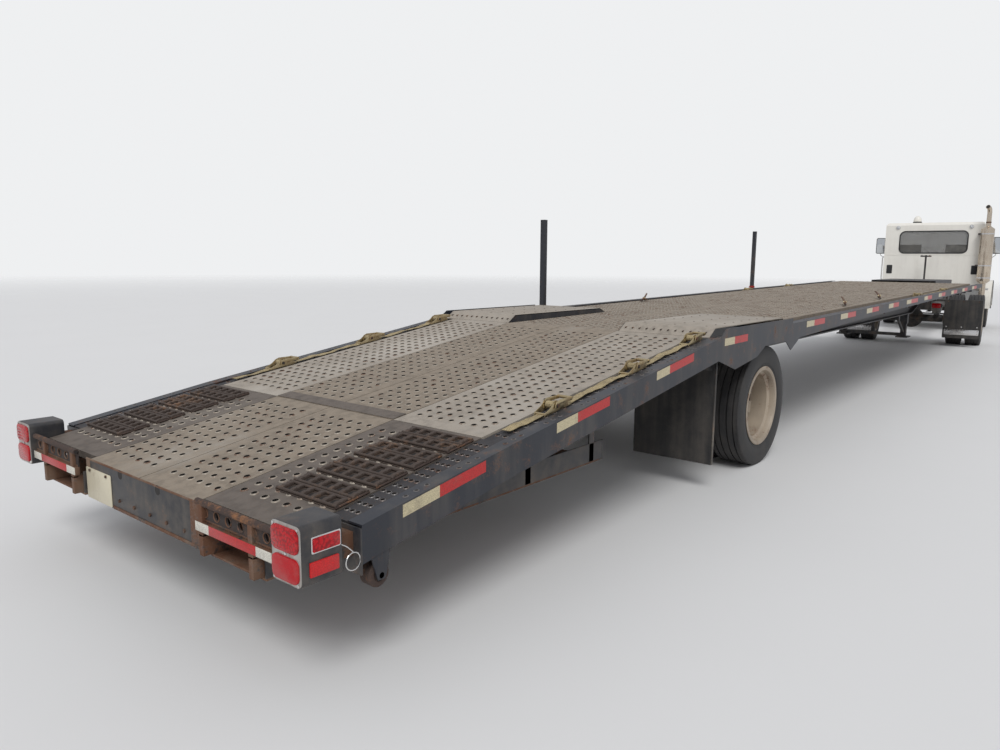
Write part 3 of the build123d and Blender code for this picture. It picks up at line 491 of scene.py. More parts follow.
class Finish(Enum):
    """Every finish of the vehicle."""

    FRAME = Coating("frame_paint", (0.018, 0.02, 0.027), chips=0.22, stain=0.3, dust=0.22,
                    splash=0.35, rough=0.42,
                    dirt=(0.2, 0.17, 0.135))
    RAIL = Coating("rail_paint", (0.02, 0.023, 0.032), chips=0.3, stain=0.3, dust=0.25, rough=0.42,
                   dirt=(0.22, 0.19, 0.155))
    RUSTY_PAINT = Coating("rusty_paint", (0.035, 0.03, 0.028), chips=0.9, stain=0.8, dust=0.45,
                          rough=0.6,
                          dirt=(0.27, 0.22, 0.165))
    DECK = WornDeck("deck_steel")
    PALE_DECK = WornDeck("salted_deck_steel", (0.37, 0.325, 0.27), salted=0.8, muddy=0.2)
    MUDDY_DECK = WornDeck("muddy_deck_steel", (0.15, 0.125, 0.105), (0.4, 0.36, 0.3),
                          (0.06, 0.045, 0.035), 0.35, 0.6)
    DARK_DECK = WornDeck("dark_plank_steel", (0.045, 0.043, 0.046), (0.2, 0.185, 0.165),
                         (0.025, 0.02, 0.018), 0.25, 0.6)
    LIP = Coating("hole_lips", (0.39, 0.34, 0.275), chips=0.45, stain=0.5, dust=0.3, rough=0.42,
                  metal=0.35, grain=2.0)
    DARK_LIP = Coating("dark_hole_lips", (0.16, 0.15, 0.145), chips=0.5, stain=0.5, dust=0.3,
                       rough=0.4, metal=0.4,
                       grain=2.0)
    # Near-black finish of hole walls and of dark discs: painted shade inside holes, openings and
    # pipe mouths, under a thin real dust film.
    HOLE_SHADE = DustyRubber("hole_painted_shade_and_dust", (0.012, 0.01, 0.009), (0.06, 0.045, 0.035), 0.35)
    RUST = RustedSteel("rusty_steel")
    DARK_RUST = RustedSteel("dark_rusty_steel", (0.04, 0.03, 0.027), (0.17, 0.08, 0.04), 0.35, 0.8)
    CLEAT = RustedSteel("cleat_steel", (0.06, 0.042, 0.033), (0.22, 0.12, 0.065), 0.45, 0.75)
    TYRE = DustyRubber("tyre_rubber", amount=0.32)
    FLAP = DustyRubber("flap_rubber", (0.018, 0.018, 0.019), (0.12, 0.105, 0.09), 0.7)
    HOSE = DustyRubber("hose_rubber", (0.015, 0.015, 0.016), amount=0.2)
    RIM = Coating("rim_paint", (0.41, 0.34, 0.26), chips=0.3, stain=0.5, dust=0.55, rough=0.5,
                  dirt=(0.26, 0.21, 0.165))
    HUB = Coating("hub_steel", (0.2, 0.17, 0.14), chips=0.7, stain=0.6, dust=0.5, rough=0.6)
    CAB = Coating("cab_paint", (0.83, 0.8, 0.73), chips=0.03, stain=0.08, dust=0.13, splash=0.35,
                  rough=0.22,
                  dirt=(0.42, 0.37, 0.3), patches=0.05)
    CHASSIS = Coating("chassis_paint", (0.022, 0.022, 0.024), chips=0.35, stain=0.35, dust=0.4,
                      splash=0.3)
    CREAM = Coating("blank_plate", (0.66, 0.6, 0.45), chips=0.12, stain=0.3, dust=0.3, rough=0.45,
                    patches=0.12,
                    dirt=(0.4, 0.34, 0.24))
    CHROME = Bright("chrome")
    LAMP_PLATE = Bright("lamp_plate", (0.55, 0.53, 0.5), (0.2, 0.17, 0.14), 0.7, 0.35)
    MIRROR_GLASS = Bright("mirror_glass", (0.6, 0.62, 0.63), (0.4, 0.38, 0.35), 0.15, 0.03)
    STACK = Bright("heated_chrome", (0.66, 0.57, 0.46), (0.2, 0.13, 0.085), 0.5, 0.16)
    TANK = Bright("tank_aluminium", (0.62, 0.62, 0.61), (0.3, 0.28, 0.25), 0.6, 0.3)
    BRASS = Bright("ratchet_steel", (0.52, 0.43, 0.26), (0.25, 0.15, 0.07), 0.7, 0.3)
    IRON = Coating("black_iron", (0.03, 0.028, 0.027), chips=0.6, stain=0.6, dust=0.3, rough=0.6,
                   metal=0.4)
    RED_LENS = Lens("red_lens", (0.5, 0.004, 0.01), (0.26, 0.002, 0.006), 95.0)
    RED_LAMP = Lens("smooth_red_lens", (0.48, 0.004, 0.009), (0.38, 0.003, 0.008), 400.0)
    AMBER_LENS = Lens("amber_lens", (0.8, 0.26, 0.01), (0.35, 0.07, 0.0))
    CLEAR_LENS = Lens("clear_lens", (0.75, 0.76, 0.76), (0.35, 0.36, 0.37), 45.0)
    REFLECTOR = Tape("red_reflector", (0.62, 0.008, 0.01), 0.15)
    RED_TAPE = Tape("red_tape", (0.52, 0.016, 0.016))
    WHITE_TAPE = Tape("white_tape", (0.72, 0.69, 0.6), 0.3)
    TAN_TAPE = Tape("tan_tape", (0.6, 0.52, 0.33), 0.45)
    GLASS = Glass("cab_glass")
    GASKET = Moulded("gasket_rubber", (0.014, 0.014, 0.014), 0.5)
    PLASTIC = Moulded("black_plastic", (0.02, 0.02, 0.021))
    TRIM = Moulded("cab_trim", (0.11, 0.1, 0.095))
    STRAP = Webbing("tan_webbing")
    RED_STRAP = Webbing("red_webbing", (0.42, 0.03, 0.02), (0.08, 0.03, 0.02))

    @property
    def material(self) -> bpy.types.Material:
        """The finish's material, built once.

        Returns:
            The material.
        """
        if self not in _MADE:
            _MADE[self] = self.value.make()
        return _MADE[self]


_MADE: dict[Finish, bpy.types.Material] = {}


@dataclass(frozen=True)
class Half:
    """The own frame of the trailer or the tractor: millimetres, x forward, y left, z up."""

    zero_x: float
    turn: float

    def matrix(self) -> Matrix:
        """Where the half stands in the row's frame, from millimetres to metres.

        Returns:
            The matrix.
        """
        pin = next(j for j in frame["joints"] if j["name"] == "hitch")["pos_m"]
        stand = Matrix.Translation((pin[0], pin[1], 0)) @ Matrix.Rotation(self.turn, 4, "Z")
        return stand @ Matrix.Diagonal((MM, MM, MM, 1)) @ Matrix.Translation((self.zero_x, 0, 0))


TRAILER = Half(-KINGPIN_X, 0.0)
TRACTOR = Half(0.0, HITCH_TURN)
STILL = Matrix.Identity(4)
SIDES = (STILL, Matrix.Diagonal((1, -1, 1, 1)))
NAMED_SIDES = tuple(zip(SIDES, ("left", "right")))
CORNERS = ((1, 1), (-1, 1), (-1, -1), (1, -1))


def placed(at: Pair, along: float, axis: str) -> Point:
    """The point at a place across an axis and a place along it."""
    return {"x": (along, *at), "y": (at[0], along, at[1]), "z": (*at, along)}[axis]


def turns(count: int, shift: float = 0.0) -> list[float]:
    """Evenly spaced angles of a full turn, shifted by a share of a step."""
    return [2 * pi * (k + shift) / count for k in range(count)]


def smooth_run(points: Sequence[Point], steps: int = 6) -> list[Vector]:
    """Points on a smooth curve through a few points.

    Args:
        points: The points it passes through.
        steps: Points on each stretch.

    Returns:
        The curve's points.
    """
    p = [Vector(q) for q in points]
    p = [2 * p[0] - p[1]] + p + [2 * p[-1] - p[-2]]
    run = []
    for a, b, c, d in zip(p, p[1:], p[2:], p[3:]):
        for i in range(steps):
            t = i / steps
            run.append(0.5 * ((2 * b) + (c - a) * t + (2 * a - 5 * b + 4 * c - d) * t * t
                              + (3 * b - a - 3 * c + d) * t ** 3))
    return run + [p[-2]]


def rounded(width: float, height: float, radius: float, steps: int) -> list[Pair]:
    """Outline of a rounded rectangle about its middle.

    Args:
        width: Full width.
        height: Full height.
        radius: Corner radius.
        steps: Edges on each corner.

    Returns:
        The outline's points.
    """
    points = []
    for k, (sx, sy) in enumerate(CORNERS):
        for i in range(steps + 1):
            a = pi / 2 * (k + i / steps)
            points.append((sx * (width / 2 - radius) + radius * cos(a),
                           sy * (height / 2 - radius) + radius * sin(a)))
    return points


class Shape:
    """A piece made from solids in one half's own frame."""

    def __init__(self, half: Half, side: Matrix = STILL) -> None:
        """Start an empty piece.

        Args:
            half: The half it belongs to.
            side: Identity for the left side, the mirror for the right.
        """
        self.half = half
        self.body = bmesh.new()
        self.finishes: list[Finish] = []
        self.at = STILL
        self.side = side

    def merge(self, part: bmesh.types.BMesh, finish: Finish, closed: bool = True) -> None:
        """Take in a finished bit.

        Args:
            part: The bit, which is freed.
            finish: Its finish.
            closed: Whether it is a closed shell, whose faces are turned outwards.
        """
        if closed:
            bmesh.ops.recalc_face_normals(part, faces=part.faces)
        place = self.side @ self.at
        part.transform(place)
        if place.determinant() < 0:
            bmesh.ops.reverse_faces(part, faces=part.faces)
        if finish not in self.finishes:
            self.finishes.append(finish)
        index = self.finishes.index(finish)
        for face in part.faces:
            face.material_index = index
        held = bpy.data.meshes.new("bit")
        part.to_mesh(held)
        part.free()
        self.body.from_mesh(held)
        bpy.data.meshes.remove(held)

    def solid(self, points: Iterable[Point], faces: Iterable[Sequence[int]], finish: Finish,
              bevel: float = 0.0) -> None:
        """Add a closed shell, its edges rounded if asked.

        Args:
            points: Corner points.
            faces: Corners of each face.
            finish: Its finish.
            bevel: Edge radius.
        """
        part = bmesh.new()
        corners = [part.verts.new(p) for p in points]
        for face in faces:
            part.faces.new([corners[i] for i in face])
        if bevel:
            bmesh.ops.recalc_face_normals(part, faces=part.faces)
            bmesh.ops.bevel(part, geom=part.edges[:], offset=bevel, segments=2, profile=0.5,
                            affect="EDGES")
        self.merge(part, finish)

    def prism(self, outline: Sequence[Pair], across: Pair, finish: Finish, axis: str = "y",
              bevel: float = 0.0) -> None:
        """Add an outline carried straight along an axis.

        Args:
            outline: Points of the section, in the other two axes' order.
            across: Both ends along the axis.
            finish: Its finish.
            axis: The axis it is carried along.
            bevel: Edge radius.
        """
        n = len(outline)
        points = [placed(p, c, axis) for c in across for p in outline]
        sides = [(i, (i + 1) % n, n + (i + 1) % n, n + i) for i in range(n)]
        self.solid(points, [tuple(range(n)), tuple(range(n, 2 * n)), *sides], finish, bevel)

    def box(self, x: Pair, y: Pair, z: Pair, finish: Finish, bevel: float = 2.0) -> None:
        """Add a box between pairs of values, with softened edges."""
        self.prism([(x[0], z[0]), (x[1], z[0]), (x[1], z[1]), (x[0], z[1])], y, finish, bevel=bevel)

    def pad(self, middle: Pair, size: Pair, corner: float, across: Pair, finish: Finish,
            bevel: float = 1.0, axis: str = "x", steps: int = 5) -> None:
        """Add a plate with round corners about a middle, between two places along an axis."""
        outline = [(middle[0] + a, middle[1] + b) for a, b in rounded(*size, corner, steps)]
        self.prism(outline, across, finish, axis, bevel)

    def ring_solid(self, rings: Sequence[Sequence[Vector]], finish: Finish,
                   loop: bool = False) -> None:
        """Add a shell through rings of as many points each.

        Args:
            rings: The rings in order.
            finish: Its finish.
            loop: Whether the last ring joins the first.
        """
        n, m = len(rings[0]), len(rings)
        points = [tuple(p) for ring in rings for p in ring]
        faces = []
        for k in range(m if loop else m - 1):
            a, b = k * n, (k + 1) % m * n
            faces += [(a + i, a + (i + 1) % n, b + (i + 1) % n, b + i) for i in range(n)]
        if not loop:
            faces += [tuple(range(n)), tuple(range((m - 1) * n, m * n))]
        self.solid(points, faces, finish)

    def tube(self, path: Sequence[Point], radius: float | Sequence[float], finish: Finish,
             sides: int = 8, loop: bool = False) -> None:
        """Add a round bar along points.

        Args:
            path: Points of its middle line.
            radius: One radius, or one for each point.
            finish: Its finish.
            sides: Sides round it.
            loop: Whether it closes on itself.
        """
        line = [Vector(p) for p in path]
        count = len(line)
        radii = [radius] * count if isinstance(radius, (int, float)) else list(radius)
        rings, side = [], None
        for i, p in enumerate(line):
            before = line[i - 1] if i or loop else line[i]
            after = line[(i + 1) % count] if i < count - 1 or loop else line[i]
            run = (after - before).normalized()
            if side is None:
                side = run.orthogonal()
            side = (side - side.project(run)).normalized()
            up = run.cross(side)
            rings.append([p + radii[i] * (cos(a) * side + sin(a) * up) for a in turns(sides)])
        self.ring_solid(rings, finish, loop)

    def bar(self, at: Pair, across: Sequence[float], radius: float | Sequence[float],
            finish: Finish, sides: int = 6, axis: str = "x") -> None:
        """Add a round bar through stations straight along an axis, such as a bolt's head."""
        self.tube([placed(at, c, axis) for c in across], radius, finish, sides)

    def dome(self, foot: Point, levels: Sequence[Pair], finish: Finish, sides: int) -> None:
        """Add an upright turned shape from (height, radius) levels above its foot."""
        self.bar(foot[:2], [foot[2] + z for z, _ in levels], [r for _, r in levels], finish,
                 sides, "z")

    def piping(self, x: float, middle: Pair, size: Pair, corner: float, radius: float,
               finish: Finish, sides: int = 10, steps: int = 5) -> None:
        """Add a bar round a rectangle with round corners that faces forward at x."""
        path = [(x, middle[0] + a, middle[1] + b) for a, b in rounded(*size, corner, steps)]
        self.tube(path, radius, finish, sides, True)

    def oval(self, centre: Point, first: Point, second: Point, radius: float, finish: Finish,
             steps: int = 20) -> None:
        """Add a bar round an oval.

        Args:
            centre: The oval's middle.
            first: From the middle to its start.
            second: From the middle to a quarter turn on.
            radius: The bar's radius.
            finish: Its finish.
            steps: Edges round the oval.
        """
        path = [tuple(c + f * cos(a) + s * sin(a) for c, f, s in zip(centre, first, second))
                for a in turns(steps)]
        self.tube(path, radius, finish, loop=True)

    def band(self, centre: Point, axis: str, inner: float, size: Pair, finish: Finish) -> None:
        """Add a flat band round a tank or a pipe.

        Args:
            centre: The band's middle.
            axis: The axis it goes round, x or z.
            inner: Its inner radius.
            size: Its width along the axis and its thickness.
            finish: Its finish.
        """
        half, outer = size[0] / 2, inner + size[1]
        rings = []
        for a in turns(48):
            ring = []
            for along, r in ((-half, inner), (half, inner), (half, outer), (-half, outer)):
                ring.append(Vector(centre) + Vector(placed((r * cos(a), r * sin(a)), along, axis)))
            rings.append(ring)
        self.ring_solid(rings, finish, True)

    def lathe(self, profile: Sequence[Pair], centre: Pair, finish: Finish, sides: int) -> None:
        """Add a closed section turned about a crosswise axle.

        Args:
            profile: Closed section of (y, radius) points.
            centre: The axle's x and height.
            finish: Its finish.
            sides: Steps round the axle.
        """
        rings = [[Vector((centre[0] + r * sin(a), y, centre[1] + r * cos(a))) for y, r in profile]
                 for a in turns(sides)]
        self.ring_solid(rings, finish, True)

    def done(self, name: str, body: str, slot: str, *stands_for: str, sharp: float = 38.0) -> None:
        """Make the piece an object that rides on a body.

        Args:
            name: The piece's name.
            body: The CAD body it rides on.
            slot: The record's material slot; not used.
            stands_for: CAD nodes that it replaces.
            sharp: Edges steeper than this angle stay sharp.
        """
        self.body.transform(self.half.matrix())
        mesh = bpy.data.meshes.new(name)
        self.body.to_mesh(mesh)
        self.body.free()
        for finish in self.finishes:
            mesh.materials.append(finish.material)
        mesh.shade_smooth()
        mesh.set_sharp_from_angle(angle=radians(sharp))
        made = bpy.data.objects.new(name, mesh)
        bpy.context.scene.collection.objects.link(made)
        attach(made, body)
        if stands_for:
            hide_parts(*stands_for)
        LOG.info("%s: %d faces on %s", name, len(mesh.polygons), body)


class Repeater:
    """Geometry Nodes trees that repeat a small shape over a grid or round a circle."""

    inputs = {"Cell": "Object", "Columns": "Int", "Rows": "Int", "Pitch Along": "Float",
              "Pitch Across": "Float", "Finish": "Material"}

    def __init__(self) -> None:
        """Build both trees."""
        self.grid = self._tree("repeat_on_grid", round_axle=False)
        self.circle = self._tree("repeat_round_axle", round_axle=True)

    def _maths(self, tree: bpy.types.NodeTree, operation: str, first: Any, second: Any) -> Any:
        """Add a Math node.

        Args:
            tree: The tree that takes it.
            operation: The node's operation.
            first: Left output or number.
            second: Right output or number.

        Returns:
            Its output.
        """
        made = tree.nodes.new("ShaderNodeMath")
        made.operation = operation
        for socket, value in zip(made.inputs, (first, second)):
            if isinstance(value, float):
                socket.default_value = value
            else:
                tree.links.new(value, socket)
        return made.outputs[0]

    def _tree(self, name: str, round_axle: bool) -> bpy.types.NodeTree:
        """Build a tree that repeats an object.

        Args:
            name: The tree's name.
            round_axle: Round a circle, each copy turned with its point, not over a grid.

        Returns:
            The tree.
        """
        tree = bpy.data.node_groups.new(name, "GeometryNodeTree")
        for label, kind in self.inputs.items():
            tree.interface.new_socket(label, in_out="INPUT", socket_type=f"NodeSocket{kind}")
        tree.interface.new_socket("Geometry", in_out="OUTPUT", socket_type="NodeSocketGeometry")
        add, link = tree.nodes.new, tree.links.new
        given = add("NodeGroupInput").outputs
        cell, spread, real, dress = (add(f"GeometryNode{kind}") for kind in (
            "ObjectInfo", "InstanceOnPoints", "RealizeInstances", "SetMaterial"))
        if round_axle:
            points, spin = add("GeometryNodeMeshCircle"), add("ShaderNodeCombineXYZ")
            link(given["Columns"], points.inputs["Vertices"])
            link(given["Pitch Along"], points.inputs["Radius"])
            step = self._maths(tree, "DIVIDE", 2 * pi, given["Columns"])
            index = add("GeometryNodeInputIndex").outputs[0]
            link(self._maths(tree, "MULTIPLY", index, step), spin.inputs["Z"])
            link(spin.outputs[0], spread.inputs["Rotation"])
        else:
            points = add("GeometryNodeMeshGrid")
            for count, pitch, way in (("Columns", "Pitch Along", "X"),
                                      ("Rows", "Pitch Across", "Y")):
                gaps = self._maths(tree, "SUBTRACT", given[count], 1.0)
                length = self._maths(tree, "MULTIPLY", gaps, given[pitch])
                link(length, points.inputs[f"Size {way}"])
                link(given[count], points.inputs[f"Vertices {way}"])
        link(given["Cell"], cell.inputs["Object"])
        link(cell.outputs["Geometry"], spread.inputs["Instance"])
        link(points.outputs["Mesh"], spread.inputs["Points"])
        link(spread.outputs["Instances"], real.inputs["Geometry"])
        link(real.outputs["Geometry"], dress.inputs["Geometry"])
        link(given["Finish"], dress.inputs["Material"])
        link(dress.outputs["Geometry"], add("NodeGroupOutput").inputs["Geometry"])
        return tree

    def run(self, shape: Shape, tree: bpy.types.NodeTree, cell: bmesh.types.BMesh,
            counts: tuple[int, int], pitch: Pair, place: Matrix, finish: Finish) -> None:
        """Repeat a cell and give the plain mesh of all copies to a piece.

        Args:
            shape: The piece that takes it.
            tree: The tree to use.
            cell: The repeated shape, which is freed.
            counts: Copies along and across.
            pitch: Distances along and across, or the circle's radius first.
            place: Where the grid's or the circle's middle goes in the piece's frame.
            finish: The finish.
        """
        small = bpy.data.meshes.new("cell")
        cell.to_mesh(small)
        cell.free()
        one = bpy.data.objects.new("cell", small)
        holder = bpy.data.objects.new("holder", bpy.data.meshes.new("holder"))
        for made in (one, holder):
            bpy.context.scene.collection.objects.link(made)
        live = holder.modifiers.new("repeat", "NODES")
        live.node_group = tree
        items = tree.interface.items_tree
        ids = {item.name: item.identifier for item in items if item.in_out == "INPUT"}
        values = (one, *counts, *(float(step) for step in pitch), finish.material)
        for label, value in zip(self.inputs, values):
            live[ids[label]] = value
        graph = bpy.context.evaluated_depsgraph_get()
        result = bpy.data.meshes.new_from_object(holder.evaluated_get(graph))
        part = bmesh.new()
        part.from_mesh(result)
        part.transform(place)
        for made in (one, holder):
            bpy.data.objects.remove(made)
        for mesh in (small, result):
            bpy.data.meshes.remove(mesh)
        shape.merge(part, finish, closed=False)


REPEAT = Repeater()


@dataclass(frozen=True)
class Punch:
    """A pattern of round holes whose lips are pressed up."""

    along: float = 70
    across: float = 74.5
    hole: float = 13.5
    lip: float = 6
    rise: float = 4
    wall: float = 14
    crest: float = 1.5
    sides: int = 8
    lip_finish: Finish = Finish.LIP

    def ring(self, cell: bmesh.types.BMesh, radius: float, z: float) -> list[bmesh.types.BMVert]:
        """Add one ring of points about the hole's middle at a height."""
        return [cell.verts.new((radius * cos(a), radius * sin(a), z))
                for a in turns(self.sides, 0.5)]

    def strip(self, levels: Sequence[Pair]) -> bmesh.types.BMesh:
        """The turned surface through (radius, height) levels.

        Args:
            levels: The levels, from the outside in.

        Returns:
            The surface.
        """
        cell = bmesh.new()
        rings = [self.ring(cell, radius, z) for radius, z in levels]
        for outer, inner in zip(rings, rings[1:]):
            for k in range(self.sides):
                n = (k + 1) % self.sides
                cell.faces.new((outer[k], outer[n], inner[n], inner[k]))
        return cell

    def square(self) -> bmesh.types.BMesh:
        """The flat plate round one hole, out to the foot of its lip.

        Returns:
            The plate.
        """
        cell = bmesh.new()
        ring = self.ring(cell, self.hole + self.lip, 0.0)
        corners = [cell.verts.new((sx * self.along / 2, sy * self.across / 2, 0))
                   for sx, sy in CORNERS]
        quarter = self.sides // 4
        for c, corner in enumerate(corners):
            last = (c + 1) * quarter - 1
            for k in range(c * quarter, last):
                cell.faces.new((corner, ring[(k + 1) % self.sides], ring[k]))
            cell.faces.new((corner, corners[(c + 1) % 4], ring[(last + 1) % self.sides],
                            ring[last]))
        return cell

    def layers(self, finish: Finish) -> list[tuple[bmesh.types.BMesh, Finish]]:
        """Plate, lip and wall of one hole with their finishes.

        Args:
            finish: The plate's finish.

        Returns:
            Each surface with its finish.
        """
        top = (self.hole, self.rise)
        lip = ((self.hole + self.lip, 0.0), (self.hole + self.crest, self.rise), top)
        # The hole's wall takes the near-black finish: painted shade inside the hole.
        return [(self.square(), finish), (self.strip(lip), self.lip_finish),
                (self.strip((top, (self.hole, -self.wall))), Finish.HOLE_SHADE)]


FINE = Punch(sides=16)
MIDDLING = Punch(sides=12)
COARSE = Punch()
EDGE = Punch(along=78, across=42, hole=11, lip=5, rise=3, sides=12, lip_finish=Finish.DARK_LIP)
TAIL_EDGE = replace(EDGE, along=62, across=32, hole=9.5, lip=4)


@dataclass
class Deck:
    """Punched planks of the tail, the slope and the long flat deck."""

    line: tuple[Pair, ...] = ((270, 620), (1140, 758), (3310, 1066), (14600, 1205))
    half: float = 1295
    centre: Pair = (3, 505)
    outer: Pair = (511, 1106)
    groove: Pair = (1112, 1211)
    centre_start: float = 70
    outer_start: float = 100
    centre_shift: float = 25
    centre_lines: int = 6
    outer_lines: int = 7
    seam: float = 6
    lid: Pair = (2, 92)
    plate: float = 5
    depth: float = 40
    cover: Pair = (3330, 4790)
    cover_ramp: float = 90
    cover_rise: float = 45
    axle_x: float = 4310
    cleat_stations: tuple[float, ...] = (385, 590, 795, 1000)
    cleat_y: float = 912
    cleat_half: float = 195
    cleat_length: float = 176
    cleat_rows: tuple[float, ...] = (-44, 44)

    @property
    def cover_top(self) -> float:
        """Height of the wheel covers' tops."""
        return self.height(self.axle_x) + self.cover_rise

    def height(self, x: float) -> float:
        """Height of the deck's top over a station.

        Args:
            x: The station.

        Returns:
            The height.
        """
        for (x_0, z_0), (x_1, z_1) in zip(self.line, self.line[1:]):
            if x <= x_1:
                return z_0 + (z_1 - z_0) * (x - x_0) / (x_1 - x_0)
        return self.line[-1][1]

    def run(self, x_0: float, x_1: float, drop: float = 0.0) -> list[Pair]:
        """The deck's top line between two stations, lowered by drop."""
        stations = [x_0] + [x for x, _ in self.line if x_0 < x < x_1] + [x_1]
        return [(x, self.height(x) - drop) for x in stations]

    def plane(self, x: float, y: float = 0.0, drop: float = 0.0) -> Matrix:
        """A frame on the deck's plane, with x running up the slope.

        Args:
            x: Station.
            y: Place across.
            drop: Depth below the deck's top.

        Returns:
            The frame's matrix.
        """
        run = Vector((20, 0, self.height(x + 10) - self.height(x - 10)))
        turn = Matrix.Rotation(-atan2(run.z, run.x), 4, "Y")
        return Matrix.Translation((x, y, self.height(x) - drop)) @ turn

    def panel(self, shape: Shape, x: Pair, y: Pair, lines: int, finish: Finish,
              punch: Punch = COARSE, inset: float = 70.0, drop: float = 0.0,
              shift: float = 0.0) -> None:
        """Add a plank punched with rows of lipped holes between plain margins.

        Args:
            shape: The piece that takes it.
            x: Both ends.
            y: Both edges.
            lines: Lines of holes across it.
            finish: Its finish.
            punch: The punching pattern.
            inset: Least plain margin at the ends.
            drop: Depth below the deck's top.
            shift: How far the holes lie outwards from the plank's middle line.
        """
        rise = self.height(x[1] - 1) - self.height(x[0] + 1)
        slant = hypot(1.0, rise / (x[1] - x[0] - 2))
        length, width = (x[1] - x[0]) * slant, y[1] - y[0]
        rows = int((length - 2 * inset) / punch.along)
        place = self.plane((x[0] + x[1]) / 2, (y[0] + y[1]) / 2, drop)
        shifted = place @ Matrix.Translation((0, shift, 0))
        pitch = (punch.along, punch.across)
        for cell, dress in punch.layers(finish):
            REPEAT.run(shape, REPEAT.grid, cell, (rows, lines), pitch, shifted, dress)
        a, b = rows * punch.along / 2, lines * punch.across / 2
        rim = bmesh.new()
        inner = [rim.verts.new((sx * a, sy * b + shift, 0)) for sx, sy in CORNERS]
        edge = [rim.verts.new((sx * length / 2, sy * width / 2, 0)) for sx, sy in CORNERS]
        foot = [rim.verts.new((v.co.x, v.co.y, -self.depth)) for v in edge]
        for k in range(4):
            n = (k + 1) % 4
            rim.faces.new((inner[n], inner[k], edge[k], edge[n]))
            rim.faces.new((edge[n], edge[k], foot[k], foot[n]))
        rim.transform(place)
        shape.merge(rim, finish, closed=False)

    def cleat(self, shape: Shape, x: float) -> None:
        """Add a traction ladder: two serrated rows of openings on a plate, each opening painted as
        a dark disc of shade.

        Args:
            shape: The piece that takes it.
            x: Station of its middle.
        """
        shape.at = self.plane(x, self.cleat_y)
        half, reach = self.cleat_half, self.cleat_length / 2
        first, span = 22 - half, 2 * half - 44
        shape.box((-reach, reach), (6 - half, half - 6), (0.5, 5), Finish.CLEAT, 1.5)
        for row in self.cleat_rows:
            for edge in (-34, 34):
                shape.bar((row + edge, 12), (-half, half), 7, Finish.CLEAT, 10, "y")
            tooth = [(row + step, up) for step, up in (
                (-36, 4), (-30, 17), (-10, 21), (0, 17), (10, 21), (30, 17), (36, 4))]
            for j in range(6):
                y = first + j * span / 5
                shape.prism(tooth, (y - 11, y + 11), Finish.CLEAT, bevel=2.5)
            for j in range(5):
                y = first + (j + 0.5) * span / 5
                # A dark disc over each opening: painted shade, no hole is cut.
                shape.bar((row, y), (4.5, 5.6), 19, Finish.HOLE_SHADE, 12, "z")
        for y in (3 - half, half - 3):
            shape.bar((y, 7), (2 - reach, reach - 2), 5, Finish.RUST, 8)
        shape.at = STILL

    def tail(self) -> None:
        """Build the tail's planks, cleats and hinge plate."""
        fold = self.line[1][0]
        end = fold - self.seam
        piece = Shape(TRAILER)
        for piece.side in SIDES:
            self.panel(piece, (self.centre_start, end), self.centre, self.centre_lines,
                       Finish.DECK, FINE, shift=self.centre_shift)
            self.panel(piece, (self.outer_start, end), self.outer, self.outer_lines,
                       Finish.MUDDY_DECK, MIDDLING)
            for x in self.cleat_stations:
                self.cleat(piece, x)
            lid = self.run(fold + self.lid[0], fold + self.lid[1], -3.5)
            piece.prism(lid + [(x, z - 3) for x, z in reversed(lid)], (0, self.centre[1]),
                        Finish.MUDDY_DECK)
        piece.done("tail_planks", "trailer", "deck_steel", "tail_deck")

    def build(self) -> None:
        """Build every plank and cover."""
        fold_1, fold_2, front = (x for x, _ in self.line[1:])
        self.tail()
        piece = Shape(TRAILER)
        for piece.side in SIDES:
            self.panel(piece, (fold_1, fold_2), self.centre, self.centre_lines, Finish.DECK,
                       MIDDLING, 100, shift=self.centre_shift)
            self.panel(piece, (fold_1, fold_2), self.outer, self.outer_lines, Finish.PALE_DECK,
                       MIDDLING)
        piece.done("slope_planks", "trailer", "deck_steel", "main_deck")
        for side, name in NAMED_SIDES:
            piece = Shape(TRAILER, side)
            self.panel(piece, (fold_2, front), self.centre, self.centre_lines, Finish.DECK,
                       shift=self.centre_shift)
            self.panel(piece, (self.cover[1], front), self.outer, self.outer_lines, Finish.DECK)
            piece.done(f"deck_planks_{name}", "trailer", "deck_steel")
        self.covers()
        self.grooves()

    def covers(self) -> None:
        """Build the raised covers over the wheels."""
        piece = Shape(TRAILER)
        (x_0, x_1), top = self.cover, self.cover_top
        ridge = [(x_0, self.height(x_0)), (x_0 + self.cover_ramp, top),
                 (x_1 - self.cover_ramp, top), (x_1, self.height(x_1))]
        under = [(x, z - self.plate) for x, z in reversed(ridge)]
        skirt = [(x, self.height(x) - self.depth) for x in (x_1, x_0)]
        y = (self.outer[0], self.groove[1])
        middle = (y[0] + y[1]) / 2
        for piece.side in SIDES:
            piece.prism(ridge + under, y, Finish.PALE_DECK)
            for (a, za), (b, zb) in (ridge[:2], ridge[2:]):
                for j in range(12):
                    across = middle + (j - 5.5) * 56
                    weld = [((a + b) / 2 + 20 * way, across, (za + zb) / 2 + 2 * way)
                            for way in (-1, 1)]
                    piece.tube(weld, 4, Finish.RUST)
            for i in range(8):
                for j in range(3):
                    spot = (x_0 + 190 + i * 154, y[0] + 110 + j * 240)
                    piece.bar(spot, (top, top + 2.5), [8, 5], Finish.CLEAT, 8, "z")
            piece.prism(ridge + skirt, (y[0], y[0] + self.plate), Finish.FRAME)
        piece.done("wheel_cover_plates", "trailer", "deck_steel", "wheel_covers")

